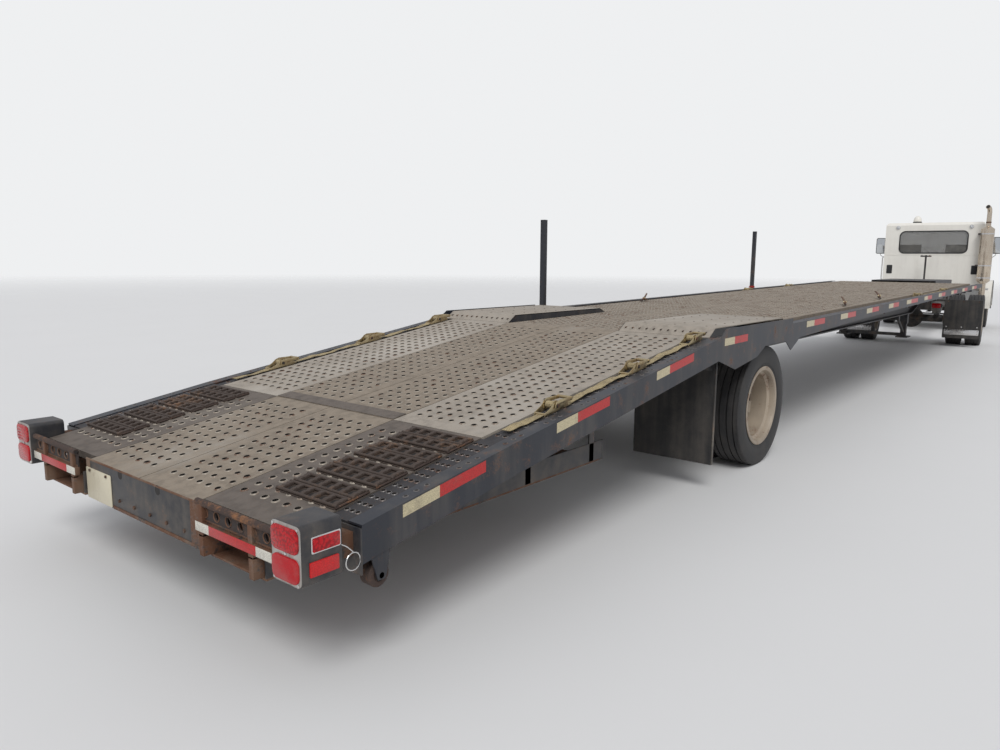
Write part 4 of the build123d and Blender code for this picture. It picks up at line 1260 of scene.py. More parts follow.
    def grooves(self) -> None:
        """Build the dark punched planks that lie low beside the rails."""
        piece = Shape(TRAILER)
        (tail, _), (fold_1, _), (fold_2, _), (front, _) = self.line
        for piece.side in SIDES:
            for x_0, x_1, lines, punch, inset, drop in (
                    (tail, fold_1 - 3, 3, TAIL_EDGE, 30, 4), (fold_1, fold_2 - 3, 2, EDGE, 40, 10),
                    (self.cover[1], front, 2, EDGE, 40, 30)):
                self.panel(piece, (x_0, x_1), self.groove, lines, Finish.DARK_DECK, punch, inset,
                           drop)
        piece.done("groove_planks", "trailer", "tread_plate", "strap_grooves")


@dataclass
class Rails:
    """Side rails with their tape blocks, roller ears and edge holes."""

    deck: Deck = field(default_factory=Deck)
    web: float = 8
    tape: float = 0.6
    tape_height: float = 50
    tape_drop: float = 7
    top_width: float = 78
    flange: float = 40
    tail_depth: float = 150
    depths: tuple[Pair, ...] = ((4900, 128), (6900, 100), (14600, 60))
    arch: tuple[Pair, ...] = ((4700, 871), (4570, 953), (4145, 953), (3980, 882), (3590, 832))
    hump: Point = (3420, 4710, 4712)
    roller: Pair = (360, 400)
    ear_half: float = 45
    ear_y: float = 1207
    pin_r: float = 12
    hole_sets: int = 40
    first_hole: float = 520
    set_pitch: float = 305
    hole_pitch: float = 58
    stations: tuple[Point, ...] = (
        (470, 671, 953), (1473, 1651, 1949), (2458, 2616, 2931), (3392, 3558, 3786),
        (5051, 5246, 5533), (6011, 6237, 6509), (6910, 7123, 7387), (7820, 8026, 8289),
        (8695, 8935, 9301), (9690, 9900, 10170), (10640, 10850, 11120), (11590, 11800, 12070),
        (12540, 12750, 13020), (13490, 13700, 13970))

    def rail(self, piece: Shape) -> None:
        """Add the left rail: web, flanges and the ears that hold the roller.

        Args:
            piece: The piece that takes it.
        """
        deck, web = self.deck, self.web
        (tail, _), (fold_1, _), (fold_2, _), (front, _) = deck.line
        face, inside = deck.half - self.tape, deck.half - web
        rise, fall, level = self.hump
        upper = deck.run(tail, fold_2) + [
            (deck.cover[0], deck.height(deck.cover[0])), (rise, deck.cover_top),
            (fall, deck.cover_top), (level, deck.height(level)), (front, deck.height(front))]
        rear = [(x, deck.height(x) - self.tail_depth) for x in (tail, fold_1, fold_2)]
        fore = [(x, deck.height(x) - depth) for x, depth in self.depths]
        piece.prism(upper + fore[::-1] + list(self.arch) + rear[::-1], (inside, face), Finish.RAIL)
        edge = deck.run(tail, front)
        piece.prism(edge + [(x, z - web) for x, z in reversed(edge)],
                    (deck.half - self.top_width, inside), Finish.RAIL)
        for low in (rear, fore):
            lip = [(x, z + web) for x, z in reversed(low)]
            piece.prism(low + lip, (inside - self.flange, inside), Finish.RAIL)
        self.ear(piece, inside, face)

    def ear(self, piece: Shape, inside: float, face: float) -> None:
        """Add the two ears of the left roller and the pin between them.

        Args:
            piece: The piece that takes them.
            inside: Inner face of the rail's web.
            face: Outer face of the rail's web.
        """
        x, z = self.roller
        y, reach = self.ear_y, self.ear_half
        foot = self.deck.height(x) - self.tail_depth
        ear = [(x - reach, foot - 6), (x + reach, foot + 8), (x + 26, z + 8), (x + 18, z - 16),
               (x - 18, z - 16), (x - 26, z + 8)]
        piece.prism(ear, (inside, face), Finish.RAIL)
        piece.prism(ear, (y, y + self.web), Finish.RUSTY_PAINT)
        piece.box((x - reach, x + reach), (y, inside), (foot - 8, foot), Finish.RUSTY_PAINT)
        piece.bar(self.roller, (y - 2, face), self.pin_r, Finish.RUST, 16, "y")
        piece.bar(self.roller, (y - 12, y), 20, Finish.RUST, 6, "y")

    def dress(self, piece: Shape) -> None:
        """Add tape blocks, weld beads and the small holes in the rail's top, each hole a lip round
        a dark disc of painted shade.

        Args:
            piece: The piece that takes them.
        """
        deck = self.deck
        for start, change, end in self.stations:
            for a, b, finish in ((start, change, Finish.TAN_TAPE), (change, end, Finish.RED_TAPE)):
                top = [(x, deck.height(x) - self.tape_drop) for x in (a, b)]
                foot = [(x, z - self.tape_height) for x, z in reversed(top)]
                piece.prism(top + foot, (deck.half - self.tape, deck.half), finish)
        for i in range(self.hole_sets):
            x = self.first_hole + i * self.set_pitch
            if deck.cover[0] - 60 < x < deck.cover[1] + 60:
                continue
            for j in range(3):
                piece.at = deck.plane(x + j * self.hole_pitch, deck.half - 38)
                piece.bar((0, 0), (0, 2), [13, 10], Finish.DARK_LIP, 10, "z")
                # A dark disc on the lip: painted shade of the hole, not an opening.
                piece.bar((0, 0), (2, 2.2), 8, Finish.HOLE_SHADE, 10, "z")
        piece.at = STILL
        for x, z in self.arch[1:3]:
            piece.bar((x, z + 3), (deck.half - 60, deck.half - 9), 5, Finish.RUST, 8, "y")

    def build(self) -> None:
        """Build both rails."""
        piece = Shape(TRAILER)
        for piece.side in SIDES:
            self.rail(piece)
            self.dress(piece)
        piece.done("rails_dressed", "trailer", "frame_paint", "side_rails")


@dataclass
class RearEnd:
    """Lamp boxes, ramp ends, blank plate, rollers and pins at the rear."""

    deck: Deck = field(default_factory=Deck)
    half: float = 1295
    box_width: float = 175
    box_front: float = 185
    low: float = 458
    high: float = 679
    skin: float = 7
    proud: float = 12
    lamp: Pair = (153, 90)
    lamp_heights: Pair = (515.5, 621.5)
    marker: tuple[Pair, Pair] = ((57, 172), (578, 629))
    strip: tuple[Pair, Pair] = ((42, 166), (492, 546))
    ring: float = 33
    ring_at: Pair = (231, 494)
    member_face: float = 64.7
    member_front: float = 150
    member_half: float = 550
    member_low: float = 388
    seat: float = 0.3
    channel: Pair = (590, 990)
    channel_wall: float = 10
    channel_floor: float = 400
    channel_x: Pair = (60, 2370)
    closing_x: Pair = (262, 270)
    hangers: tuple[float, ...] = (390, 1000, 1610, 2220)
    plate_middle: Pair = (413, 468)
    plate_size: Pair = (270, 156)
    worn: tuple[Pair, Pair] = ((-549, -455), (503, 547))
    ramp_middle: float = 840
    ramp_half: float = 262
    ramp_low: float = 400.3
    ramp_rails: Pair = (600, 950)
    rail_width: float = 30
    end_x: Pair = (20, 44)
    tube_z: float = 617
    tape_end: float = 100
    hole_pitch: float = 84
    hole_r: float = 18
    hole_z: float = 578.5
    roller: Pair = (360, 400)
    roller_y: float = 1221
    roller_section: tuple[Pair, ...] = (
        (0, 42), (5, 50), (26, 50), (30, 47), (34, 50), (55, 50), (60, 42), (60, 27), (53, 25),
        (53, 13), (7, 13), (7, 25), (0, 27))

    def lamp_box(self, shape: Shape) -> None:
        """Add the left lamp box.

        Args:
            shape: The piece that takes it.
        """
        y_0, y_1 = self.half - self.box_width, self.half - self.skin
        middle, up = (y_0 + y_1) / 2, (self.low + self.high) / 2
        wide, tall = self.box_width - self.skin, self.high - self.low
        face, proud = (middle, up), self.proud
        shape.pad(face, (wide, tall), 20, (proud + 1, self.box_front), Finish.FRAME, 3)
        shape.pad(face, (wide - 4, tall - 4), 20, (proud - 3, proud + 2), Finish.LAMP_PLATE)
        for z, finish in zip(self.lamp_heights, (Finish.RED_LAMP, Finish.RED_LENS)):
            shape.pad((middle, z), self.lamp, 26, (0.6, proud), finish, 4)
        for i in range(7):
            for j in range(5):
                spot = (middle - 54 + 18 * i, self.lamp_heights[1] - 32 + 16 * j)
                shape.bar(spot, (2, 0.1), [6, 3.5], Finish.RED_LENS, 8)
        for spot in (face, (y_0 + 14, self.high - 12), (y_1 - 14, self.high - 12),
                     (y_0 + 14, self.low + 12), (y_1 - 14, self.low + 12)):
            shape.bar(spot, (proud, proud - 6), 5.5, Finish.CHROME)
        for (x, z), finish, rim in ((self.marker, Finish.RED_LENS, 10),
                                    (self.strip, Finish.REFLECTOR, 0)):
            spot, size = ((x[0] + x[1]) / 2, (z[0] + z[1]) / 2), (x[1] - x[0], z[1] - z[0])
            framed = (size[0] + rim, size[1] + rim)
            shape.pad(spot, framed, 6, (y_1 - 1, y_1 + 3), Finish.CHROME, axis="y")
            shape.pad(spot, size, 5, (y_1, self.half - 0.3), finish, 1.5, "y")
        for x in (60, 150):
            shape.bar((x, middle), (self.high - 4, self.high - 0.5), 9, Finish.IRON, 6, "z")
        (x, z), y = self.ring_at, self.half - 6
        shape.oval((x, y, z), (0, 0, self.ring), (self.ring, 0, 0), 2.6, Finish.CHROME, 28)
        lead = smooth_run([(180, y - 3, 572), (205, y - 1, 556), (x, y, 530)])
        shape.tube(lead, 2.2, Finish.CHROME)
        shape.box((self.box_front, 262), (1160, 1255), (498, 590), Finish.RUSTY_PAINT, 3)

    def member(self) -> None:
        """Build the rear member, the closing plates and the ramp channels."""
        piece = Shape(TRAILER)
        back, half, low, deck = self.member_face, self.member_half, self.member_low, self.deck
        under = deck.depth + self.seat
        skin = back + 5 + self.seat
        ceiling = [(x, deck.height(x) - under) for x in (skin, self.member_front)]
        piece.prism([(self.member_front, low), (skin, low), *ceiling], (-half, half), Finish.FRAME)
        piece.box((back, back + 5), (-half, half), (low, deck.height(70)), Finish.FRAME, 1)
        inner, outer = self.channel
        wall, floor = self.channel_wall, self.channel_floor
        for piece.side in SIDES:
            piece.box((149, 332), (380, 520), (402, deck.height(149) - under), Finish.FRAME)
            top = deck.height(self.closing_x[0]) - under
            for y, z in (((520.3, inner), (430, top)), ((inner, outer), (530, top)),
                         ((outer, 1106), (430, top)), ((1106, self.half - self.seat), (430, 608))):
                piece.box(self.closing_x, y, z, Finish.FRAME, 1)
            piece.box(self.channel_x, (inner - wall, outer + wall), (floor - wall, floor),
                      Finish.RUSTY_PAINT)
            for y in ((inner - wall, inner), (outer, outer + wall)):
                piece.box(self.channel_x, y, (floor - 1, 510), Finish.FRAME)
                for x in self.hangers:
                    piece.box((x, x + 50), y, (floor - 1, deck.height(x) - 110), Finish.FRAME)
        piece.side = STILL
        self.member_fittings(piece)
        piece.done("rear_member", "trailer", "frame_paint", "rear_end")

    def member_fittings(self, piece: Shape) -> None:
        """Add the blank plate, the bolts, the drain holes painted as dark discs of shade, and the
        worn edges.

        Args:
            piece: The piece that takes them.
        """
        back = self.member_face
        piece.pad(self.plate_middle, self.plate_size, 9, (back - 3.5, back - 0.3), Finish.CREAM)
        for side, worn in zip((-1, 1), self.worn):
            bolt = (self.plate_middle[0] + side * 89, self.plate_middle[1] + 66)
            piece.bar(bolt, (back - 4, back - 9), 8, Finish.IRON)
            # Each drain hole is a dark disc on the face: painted shade, no opening.
            piece.bar((side * 180, 570), (back - 0.4, back + 1), 22, Finish.HOLE_SHADE, 20)
            piece.box((back - 0.9, back - 0.1), worn, (390, 585), Finish.RUSTY_PAINT, 0.3)
        piece.bar((back + 3, 585), (-548, 548), 5, Finish.RUSTY_PAINT, 8, "y")
        piece.box((back - 2.2, back - 0.1), (-540, 270), (388, 404), Finish.RUSTY_PAINT, 0.8)
        for i in range(5):
            piece.bar((-400 + 150 * i, 440), (back, back - 6), 9, Finish.IRON)

    def holed_plate(self, shape: Shape) -> None:
        """Add the upright plate with six round holes at the ramp's end.

        Args:
            shape: The piece that takes it.
        """
        thick = 8
        pitch = (self.hole_pitch, 77)
        punch = Punch(*pitch, hole=self.hole_r, lip=0, rise=0, wall=thick, sides=16)
        middle = Vector((36, self.ramp_middle, self.hole_z))
        deep = Matrix.Translation(middle + Vector((thick, 0, 0)))
        rear = Matrix.Translation(middle) @ Matrix(((0, 0, -1), (-1, 0, 0), (0, 1, 0))).to_4x4()
        front = deep @ Matrix(((0, 0, 1), (1, 0, 0), (0, 1, 0))).to_4x4()
        wall = punch.strip(((punch.hole, 0.0), (punch.hole, -punch.wall)))
        for cell, place in ((punch.square(), rear), (punch.square(), front), (wall, rear)):
            REPEAT.run(shape, REPEAT.grid, cell, (6, 1), pitch, place, Finish.DARK_RUST)
        for y in (self.ramp_middle - 262, self.ramp_middle + 252):
            shape.box((36, 44), (y, y + 10), (540, self.tube_z), Finish.DARK_RUST, 0.5)

    def ramp(self, shape: Shape) -> None:
        """Add the left ramp: rails, cross bars, the taped end bar and the rusty tube.

        Args:
            shape: The piece that takes it.
        """
        low, wide = self.ramp_low, self.rail_width
        for y in self.ramp_rails:
            shape.box((20, 2310), (y, y + wide), (low, low + 90), Finish.RUSTY_PAINT)
            shape.box(self.end_x, (y, y + wide), (low + 80, 615), Finish.RUSTY_PAINT)
        for i in range(8):
            x = 240 + 250 * i
            shape.box((x, x + wide), (self.ramp_rails[0], self.ramp_rails[1] + wide),
                      (low + 30, low + 60), Finish.DARK_RUST, 3)
        y_0, y_1 = self.ramp_middle - self.ramp_half, self.ramp_middle + self.ramp_half
        shape.box(self.end_x, (y_0, y_1), (500, 540), Finish.RUSTY_PAINT)
        self.holed_plate(shape)
        marks = (y_0, y_0 + self.tape_end, y_1 - self.tape_end, y_1)
        tapes = (Finish.WHITE_TAPE, Finish.RED_TAPE, Finish.WHITE_TAPE)
        for a, b, finish in zip(marks, marks[1:], tapes):
            shape.box((19, 20.5), (a, b), (501, 539), finish, 0.3)
        pipe = (32, self.tube_z)
        shape.bar(pipe, (y_0, y_1), 13.6, Finish.RUST, 20, "y")
        # Dark discs in the tube's ends: painted shade inside the pipe.
        for y in (y_0 - 0.8, y_1 - 0.2):
            shape.bar(pipe, (y, y + 1), 9, Finish.HOLE_SHADE, 16, "y")
        shape.box((34.6, 36.2), (y_0 + 1, y_1 - 1), (541, 550), Finish.RUSTY_PAINT, 0.5)
        for i in range(6):
            y = self.ramp_middle + self.hole_pitch * (i - 2.5)
            shape.oval((35.5, y, self.hole_z), (0, 20, 0), (0, 0, 20), 2.6, Finish.RUSTY_PAINT)

    def build(self) -> None:
        """Build the rear's pieces."""
        piece = Shape(TRAILER)
        for piece.side in SIDES:
            self.lamp_box(piece)
        piece.done("lamp_boxes_dressed", "trailer", "lamp_plastic", "lamp_boxes")
        self.member()
        for side, word in NAMED_SIDES:
            ramp, roller = f"ramp_{word}", f"roller_{word}"
            piece = Shape(TRAILER, side)
            self.ramp(piece)
            piece.done(f"{ramp}_worn", ramp, "rusty_steel", ramp)
            piece = Shape(TRAILER, side)
            section = [(self.roller_y + y, r) for y, r in self.roller_section]
            piece.lathe(section, self.roller, Finish.RUST, 48)
            piece.done(f"{roller}_worn", roller, "rusty_steel", roller)


@dataclass
class Wheel:
    """A tyre pair or a single tyre on its rims."""

    name: str
    body: str
    half: Half
    side: Matrix
    axle: Pair
    centres: tuple[float, ...]
    width: float
    hub: Pair
    dish: float = 75
    bead: float = 286
    lugs: int = 60
    lug_rows: tuple[float, ...] = (-0.375, -0.205, 0.0, 0.205, 0.375)
    shoulder: tuple[Pair, ...] = ((0.497, 62), (0.484, 40), (0.47, 20), (0.455, 8), (0.43, 2.5))
    sidewall: tuple[Pair, ...] = ((0.39, 2), (0.42, 14), (0.455, 30), (0.487, 62))
    grooves: Pair = (0.3, 0.11)
    rim: tuple[Pair, ...] = (
        (-0.455, 22), (-0.47, 18), (-0.465, 2), (-0.42, -4), (-0.33, -5), (-0.3, -26),
        (0.24, -26), (0.3, -6), (0.42, -4), (0.465, 2), (0.47, 18), (0.455, 22))
    dish_curve: tuple[Pair, ...] = (
        (196, 0.10), (210, 0.24), (232, 0.5), (252, 0.72), (266, 0.88))
    disc_steps: int = 80
    disc_thick: float = 12
    hub_hole: float = 112

    @property
    def radius(self) -> float:
        """The tyre's radius, as it stands on the ground."""
        return self.axle[1]

    def around(self, count: int, reach: float, shift: float = 0.0) -> list[Pair]:
        """Places (x, z) on a circle about the axle."""
        x, z = self.axle
        return [(x + reach * sin(a), z + reach * cos(a)) for a in turns(count, shift)]

    def tyre_profile(self, y: float) -> list[Pair]:
        """Closed section of one tyre, with its grooves.

        Args:
            y: Middle of the tyre.

        Returns:
            The section as (y, radius) points.
        """
        w, r, b = self.width, self.radius, self.bead
        left = [(s, b + up) for s, up in self.sidewall] + [(0.5, (b + r) / 2 + 8)]
        left += [(s, r - down) for s, down in self.shoulder]
        for groove in self.grooves:
            left += [(groove + 0.022, r), (groove + 0.016, r - 13), (groove - 0.016, r - 13),
                     (groove - 0.022, r)]
        return [(y + s * w, z) for s, z in left] + [(y - s * w, z) for s, z in reversed(left)]

    def lug(self) -> bmesh.types.BMesh:
        """One shoulder lug, about the axle's middle with the radius outwards.

        Returns:
            The lug.
        """
        lug = bmesh.new()
        bmesh.ops.create_cube(lug, size=1.0)
        length = 2 * pi * self.radius / self.lugs * 0.62
        for v in lug.verts:
            v.co = Vector((-6 + 12 * (v.co.x + 0.5), v.co.y * length, v.co.z * 0.125 * self.width))
        return lug

    def tyres(self) -> None:
        """Build the treaded tyres."""
        piece = Shape(self.half, self.side)
        x, z = self.axle
        flat = Matrix.Translation((x, 0, z)) @ Matrix.Rotation(radians(90), 4, "X")
        reach = (self.radius - 7.5, 0)
        for y in self.centres:
            piece.lathe(self.tyre_profile(y), self.axle, Finish.TYRE, 84)
            for share in self.lug_rows:
                place = Matrix.Translation((0, y + share * self.width, 0)) @ flat
                REPEAT.run(piece, REPEAT.circle, self.lug(), (self.lugs, 1), reach, place,
                           Finish.TYRE)
            for way in (-1, 1):
                for at, bulge in ((self.bead + 40, 0.935), (self.radius - 70, 0.985)):
                    ring = y + way * 0.5 * self.width * bulge
                    section = [(ring - 4, at - 4), (ring + way * 1.5, at), (ring - 4, at + 4)]
                    piece.lathe(section, self.axle, Finish.TYRE, 60)
        piece.done(f"{self.name}_tread", self.body, "tyre_rubber", self.name, sharp=30)

    def disc(self, shape: Shape, face: float, rim: float) -> None:
        """Add a dished disc with hand holes, bolted at its middle.

        Args:
            shape: The piece that takes it.
            face: Place of the bolting face across the vehicle.
            rim: Place of its outer edge across the vehicle.
        """
        way = 1 if rim > face else -1
        run, steps = abs(rim - face), self.disc_steps
        dished = [(r, share * run) for r, share in self.dish_curve]
        radii = [(self.hub_hole, 0), (160, 0), (182, 2), *dished, (self.bead - 8, run)]
        part = bmesh.new()
        grids = [[[part.verts.new((x, face + way * d - lift, z)) for x, z in self.around(steps, r)]
                  for r, d in radii] for lift in (0.0, self.disc_thick * way)]
        for i in range(len(radii) - 1):
            for k in range(steps):
                n = (k + 1) % steps
                if i in (4, 5) and k % 8 in (2, 3, 4):
                    continue
                for grid in grids:
                    part.faces.new((grid[i][k], grid[i][n], grid[i + 1][n], grid[i + 1][k]))
        bare = [e.verts[:] for e in part.edges if len(e.link_faces) == 1]
        twin = {a: b for rows in zip(*grids) for a, b in zip(*rows)}
        for a, b in bare:
            if a in twin:
                part.faces.new((a, b, twin[b], twin[a]))
        shape.merge(part, Finish.RIM)
        for spot in self.around(10, 143, 0.3):
            for reach, radius, sides in ((16, 21, 6), (34, 10, 10)):
                shape.bar(spot, (face, face + way * reach), radius, Finish.HUB, sides, "y")

    def rims(self) -> None:
        """Build the rims, discs, studs and hub."""
        piece = Shape(self.half, self.side)
        w, b = self.width, self.bead
        start, end = self.hub
        outer = [(s, b + up) for s, up in self.rim]
        inner = [(s * 0.985, r - 9) for s, r in reversed(outer[2:-2])]
        for y in self.centres:
            piece.lathe([(y + s * w, r) for s, r in outer + inner], self.axle, Finish.RIM, 72)
        if len(self.centres) == 2:
            middle = sum(self.centres) / 2
            for way, centre in ((1, max(self.centres)), (-1, min(self.centres))):
                self.disc(piece, middle + way * 8, centre - way * 0.1 * w)
        else:
            self.disc(piece, self.centres[0] + 20, self.centres[0] + self.dish)
        section = [(start, 100), (start + 60, 118), (end - 60, 112), (end - 34, 92), (end - 6, 78),
                   (end, 66), (end, 48), (start, 48)]
        piece.lathe(section, self.axle, Finish.HUB, 40)
        piece.bar(self.axle, (end - 12, end + 6), 50, Finish.HUB, 24, "y")
        for spot in self.around(8, 70):
            piece.bar(spot, (end - 14, end + 5), 9, Finish.HUB, 6, "y")
        rim = self.name.replace("tyre", "rim")
        piece.done(f"{rim}_dressed", self.body, "rim_paint", rim, sharp=32)


@dataclass
class RunningGear:
    """All the wheels of both halves."""

    pitch: float = 325
    stick_out: float = 80
    steer_axle: Pair = (5050, 490)
    steer_y: float = 1020.0
    steer_width: float = 275
    steer_hub: Pair = (900, 1130)
    duals: tuple[tuple[str, Half, Pair, float, float, float], ...] = (
        ("trailer", TRAILER, (4310, 465), 255, 1240, 110),
        ("drive", TRACTOR, (-50, 485), 265, 1215, 140))

    def build(self) -> None:
        """Build each wheel on its body."""
        for side, word in NAMED_SIDES:
            wheels = []
            for name, half, axle, width, face, reach in self.duals:
                outer = face - width / 2
                hub = (face - self.pitch - width - self.stick_out, outer - self.pitch / 2 + reach)
                wheels.append(Wheel(f"{name}_tyres_{word}", f"{name}_wheels_{word}", half, side,
                                    axle, (outer, outer - self.pitch), width, hub))
            wheels.append(Wheel(f"steer_tyre_{word}", f"steer_wheel_{word}", TRACTOR, side,
                                self.steer_axle, (self.steer_y,), self.steer_width,
                                self.steer_hub))
            for wheel in wheels:
                wheel.tyres()
                wheel.rims()


@dataclass
class Restraints:
    """Tie-down straps, ratchets and binders on the deck."""

    deck: Deck = field(default_factory=Deck)
    line: float = 1162
    width: float = 48
    thick: float = 2.6
    ratchets: tuple[Pair, ...] = ((1500, 4), (2300, 4), (3050, 4), (9800, 26), (11600, 26))
    length: float = 220
    runs: tuple[Point, ...] = (
        (1250, 1530, 2), (1700, 2320, 2), (2500, 3070, 2), (10000, 11620, 24))
    cheek: tuple[Pair, ...] = (
        (-104, 2), (-98, 18), (-44, 34), (-16, 50), (22, 50), (48, 34), (96, 24), (106, 2))
    arm: tuple[Pair, ...] = (
        (-24, 22), (-10, 50), (22, 58), (120, 46), (134, 30), (122, 26), (30, 34), (10, 20))
    spool_z: float = 32
    teeth: int = 28
    lever: tuple[Point, ...] = ((-150, 0, 18), (-60, 0, 26), (160, 20, 60), (230, 30, 66))
    binders: tuple[Pair, ...] = ((7150, -1010), (8650, -990), (6420, 980))
    link: Pair = (17, 9)
    link_pitch: float = 24
    coil: Pair = (10500, 1320)

    def ribbon(self, shape: Shape, x_0: float, x_1: float, drop: float) -> None:
        """Add a strap that lies along the groove with small ripples.

        Args:
            shape: The piece that takes it.
            x_0: Rear end.
            x_1: Front end.
            drop: Depth below the deck's top.
        """
        count = max(12, int((x_1 - x_0) / 28))
        corners = ((-1, 0), (1, 0), (1, self.thick), (-1, self.thick))
        rings = []
        for i in range(count + 1):
            x = x_0 + (x_1 - x_0) * i / count
            ripple = 3.2 * sin(x * 0.021) + 1.8 * sin(x * 0.057 + 1.0)
            sway = 5 * sin(x * 0.0083) + 2 * sin(x * 0.031)
            lean = 2.2 * sin(x * 0.017 + 0.5)
            z, y = self.deck.height(x) - drop + 5 + ripple, self.line + sway
            rings.append([Vector((x, y + s * self.width / 2, z + s * lean + t))
                          for s, t in corners])
        shape.ring_solid(rings, Finish.STRAP)

    def ratchet(self, shape: Shape, x: float, drop: float) -> None:
        """Add a ratchet: side plates, toothed wheels, spool, bars and a folded handle.

        Args:
            shape: The piece that takes it.
            x: Its rear end.
            drop: Depth below the deck's top.
        """
        shape.at = self.deck.plane(x + self.length / 2, self.line, drop)
        axle = (0, self.spool_z)
        teeth = [((21, 27)[k % 2] * sin(a), self.spool_z + (21, 27)[k % 2] * cos(a))
                 for k, a in enumerate(turns(self.teeth))]
        for way in (-1, 1):
            shape.prism(self.cheek, (way * 30, way * 33.5), Finish.BRASS, bevel=1)
            shape.prism(self.arm, (way * 38, way * 41.5), Finish.BRASS, bevel=1)
            shape.prism(teeth, (way * 26, way * 29.5), Finish.BRASS)
            shape.bar(axle, (way * 42, way * 46), 11, Finish.IRON, 6, "y")
        for at, half, radius, finish, sides in (
                (axle, 42, 9, Finish.IRON, 14), (axle, 24, 19, Finish.STRAP, 20),
                ((124, 38), 44, 9, Finish.BRASS, 14), ((-92, 12), 32, 6, Finish.BRASS, 10),
                ((88, 14), 32, 6, Finish.BRASS, 10)):
            shape.bar(at, (-half, half), radius, finish, sides, "y")
        shape.box((42, 58), (-30, 30), (22, 28), Finish.IRON, 1)
        shape.at = STILL

    def binder(self, shape: Shape, x: float, y: float) -> None:
        """Add a lever binder with chain hooks lying on the deck.

        Args:
            shape: The piece that takes it.
            x: Station of its middle.
            y: Place across.
        """
        shape.at = self.deck.plane(x, y, -14) @ Matrix.Rotation(0.3, 4, "Z")
        shape.tube(self.lever, [9, 12, 9, 7], Finish.RUSTY_PAINT, 10)
        shape.bar((-60, 26), (-16, 16), 13, Finish.BRASS, 12, "y")
        long, short = self.link
        for start, way in ((-150, -1), (20, 1)):
            for k in range(4):
                centre = (start + way * (self.link_pitch * k + 10), 0, 8)
                second = (0, short, 0) if k % 2 else (0, 0, short)
                shape.oval(centre, (long, 0, 0), second, 4.2, Finish.IRON, 14)
        shape.at = STILL

    def build(self) -> None:
        """Build the straps, ratchets and binders."""
        straps, irons = Shape(TRAILER), Shape(TRAILER)
        for side in SIDES:
            straps.side = irons.side = side
            for run in self.runs:
                self.ribbon(straps, *run)
            for place in self.ratchets:
                self.ratchet(irons, *place)
        straps.done("tie_straps", "trailer", "webbing", "straps")
        irons.done("ratchet_irons", "trailer", "iron", "ratchets")
        extra = Shape(TRAILER)
        for place in self.binders:
            self.binder(extra, *place)
        x, y = self.coil
        for k in range(3):
            r, z = 40 - 3 * k, self.deck.height(x) + 12 + 9 * k
            extra.oval((x, y, z), (r, 0, 0), (0, r, 0), 6, Finish.RED_STRAP, 24)
        extra.done("chain_binders", "trailer", "iron")


@dataclass
class Undergear:
    """Small parts under the trailer: flap rods and bolts, landing crank, tie-down rings."""

    deck: Deck = field(default_factory=Deck)
    flap_x: float = 3360
    flap: Pair = (650, 1250)
    flap_z: Pair = (190, 935)
    bolts: int = 5
    bolt_inset: float = 60
    rings: int = 10
    first_ring: float = 1700
    ring_pitch: float = 1220
    ring: Pair = (1262, 26)
    crank: tuple[Point, ...] = (
        (12700, 525, 820), (12700, 615, 820), (12710, 635, 805), (12740, 637, 640),
        (12750, 645, 625), (12750, 755, 622))

    def flap_fittings(self, piece: Shape) -> None:
        """Add the left flap's rod, clamping bar and bolts.

        Args:
            piece: The piece that takes them.
        """
        x, (y_0, y_1), (z_0, z_1) = self.flap_x, self.flap, self.flap_z
        piece.bar((x + 5, y_1 + 6), (z_0 + 4, z_1), 7, Finish.CHASSIS, 12, "z")
        piece.box((x - 4, x - 0.5), (y_0 + 20, y_1 - 20), (z_1 - 95, z_1 - 55), Finish.CHASSIS, 1)
        span = y_1 - y_0 - 2 * self.bolt_inset
        for i in range(self.bolts):
            y = y_0 + self.bolt_inset + i * span / (self.bolts - 1)
            piece.bar((y, z_1 - 75), (x - 3, x - 12), 10, Finish.RUST)

    def build(self) -> None:
        """Build the small parts."""
        piece = Shape(TRAILER)
        (start, end), (y, reach) = self.deck.cover, self.ring
        for piece.side in SIDES:
            self.flap_fittings(piece)
            for i in range(self.rings):
                x = self.first_ring + i * self.ring_pitch
                if start - 200 < x < end + 200:
                    continue
                z = self.deck.height(x) - 66
                piece.oval((x, y, z - 22), (reach, 0, 0), (0, 5, reach), 5, Finish.RUST)
                piece.box((x - 14, x + 14), (y - 12, y + 14), (z - 4, z + 20), Finish.RUSTY_PAINT)
        piece.side = STILL
        piece.tube(self.crank, 11, Finish.IRON, 12)
        x, y, z = self.crank[0]
        piece.bar((x, z), (y + 4, y + 40), 32, Finish.IRON, 20, "y")
        piece.done("undergear_fittings", "trailer", "frame_paint")


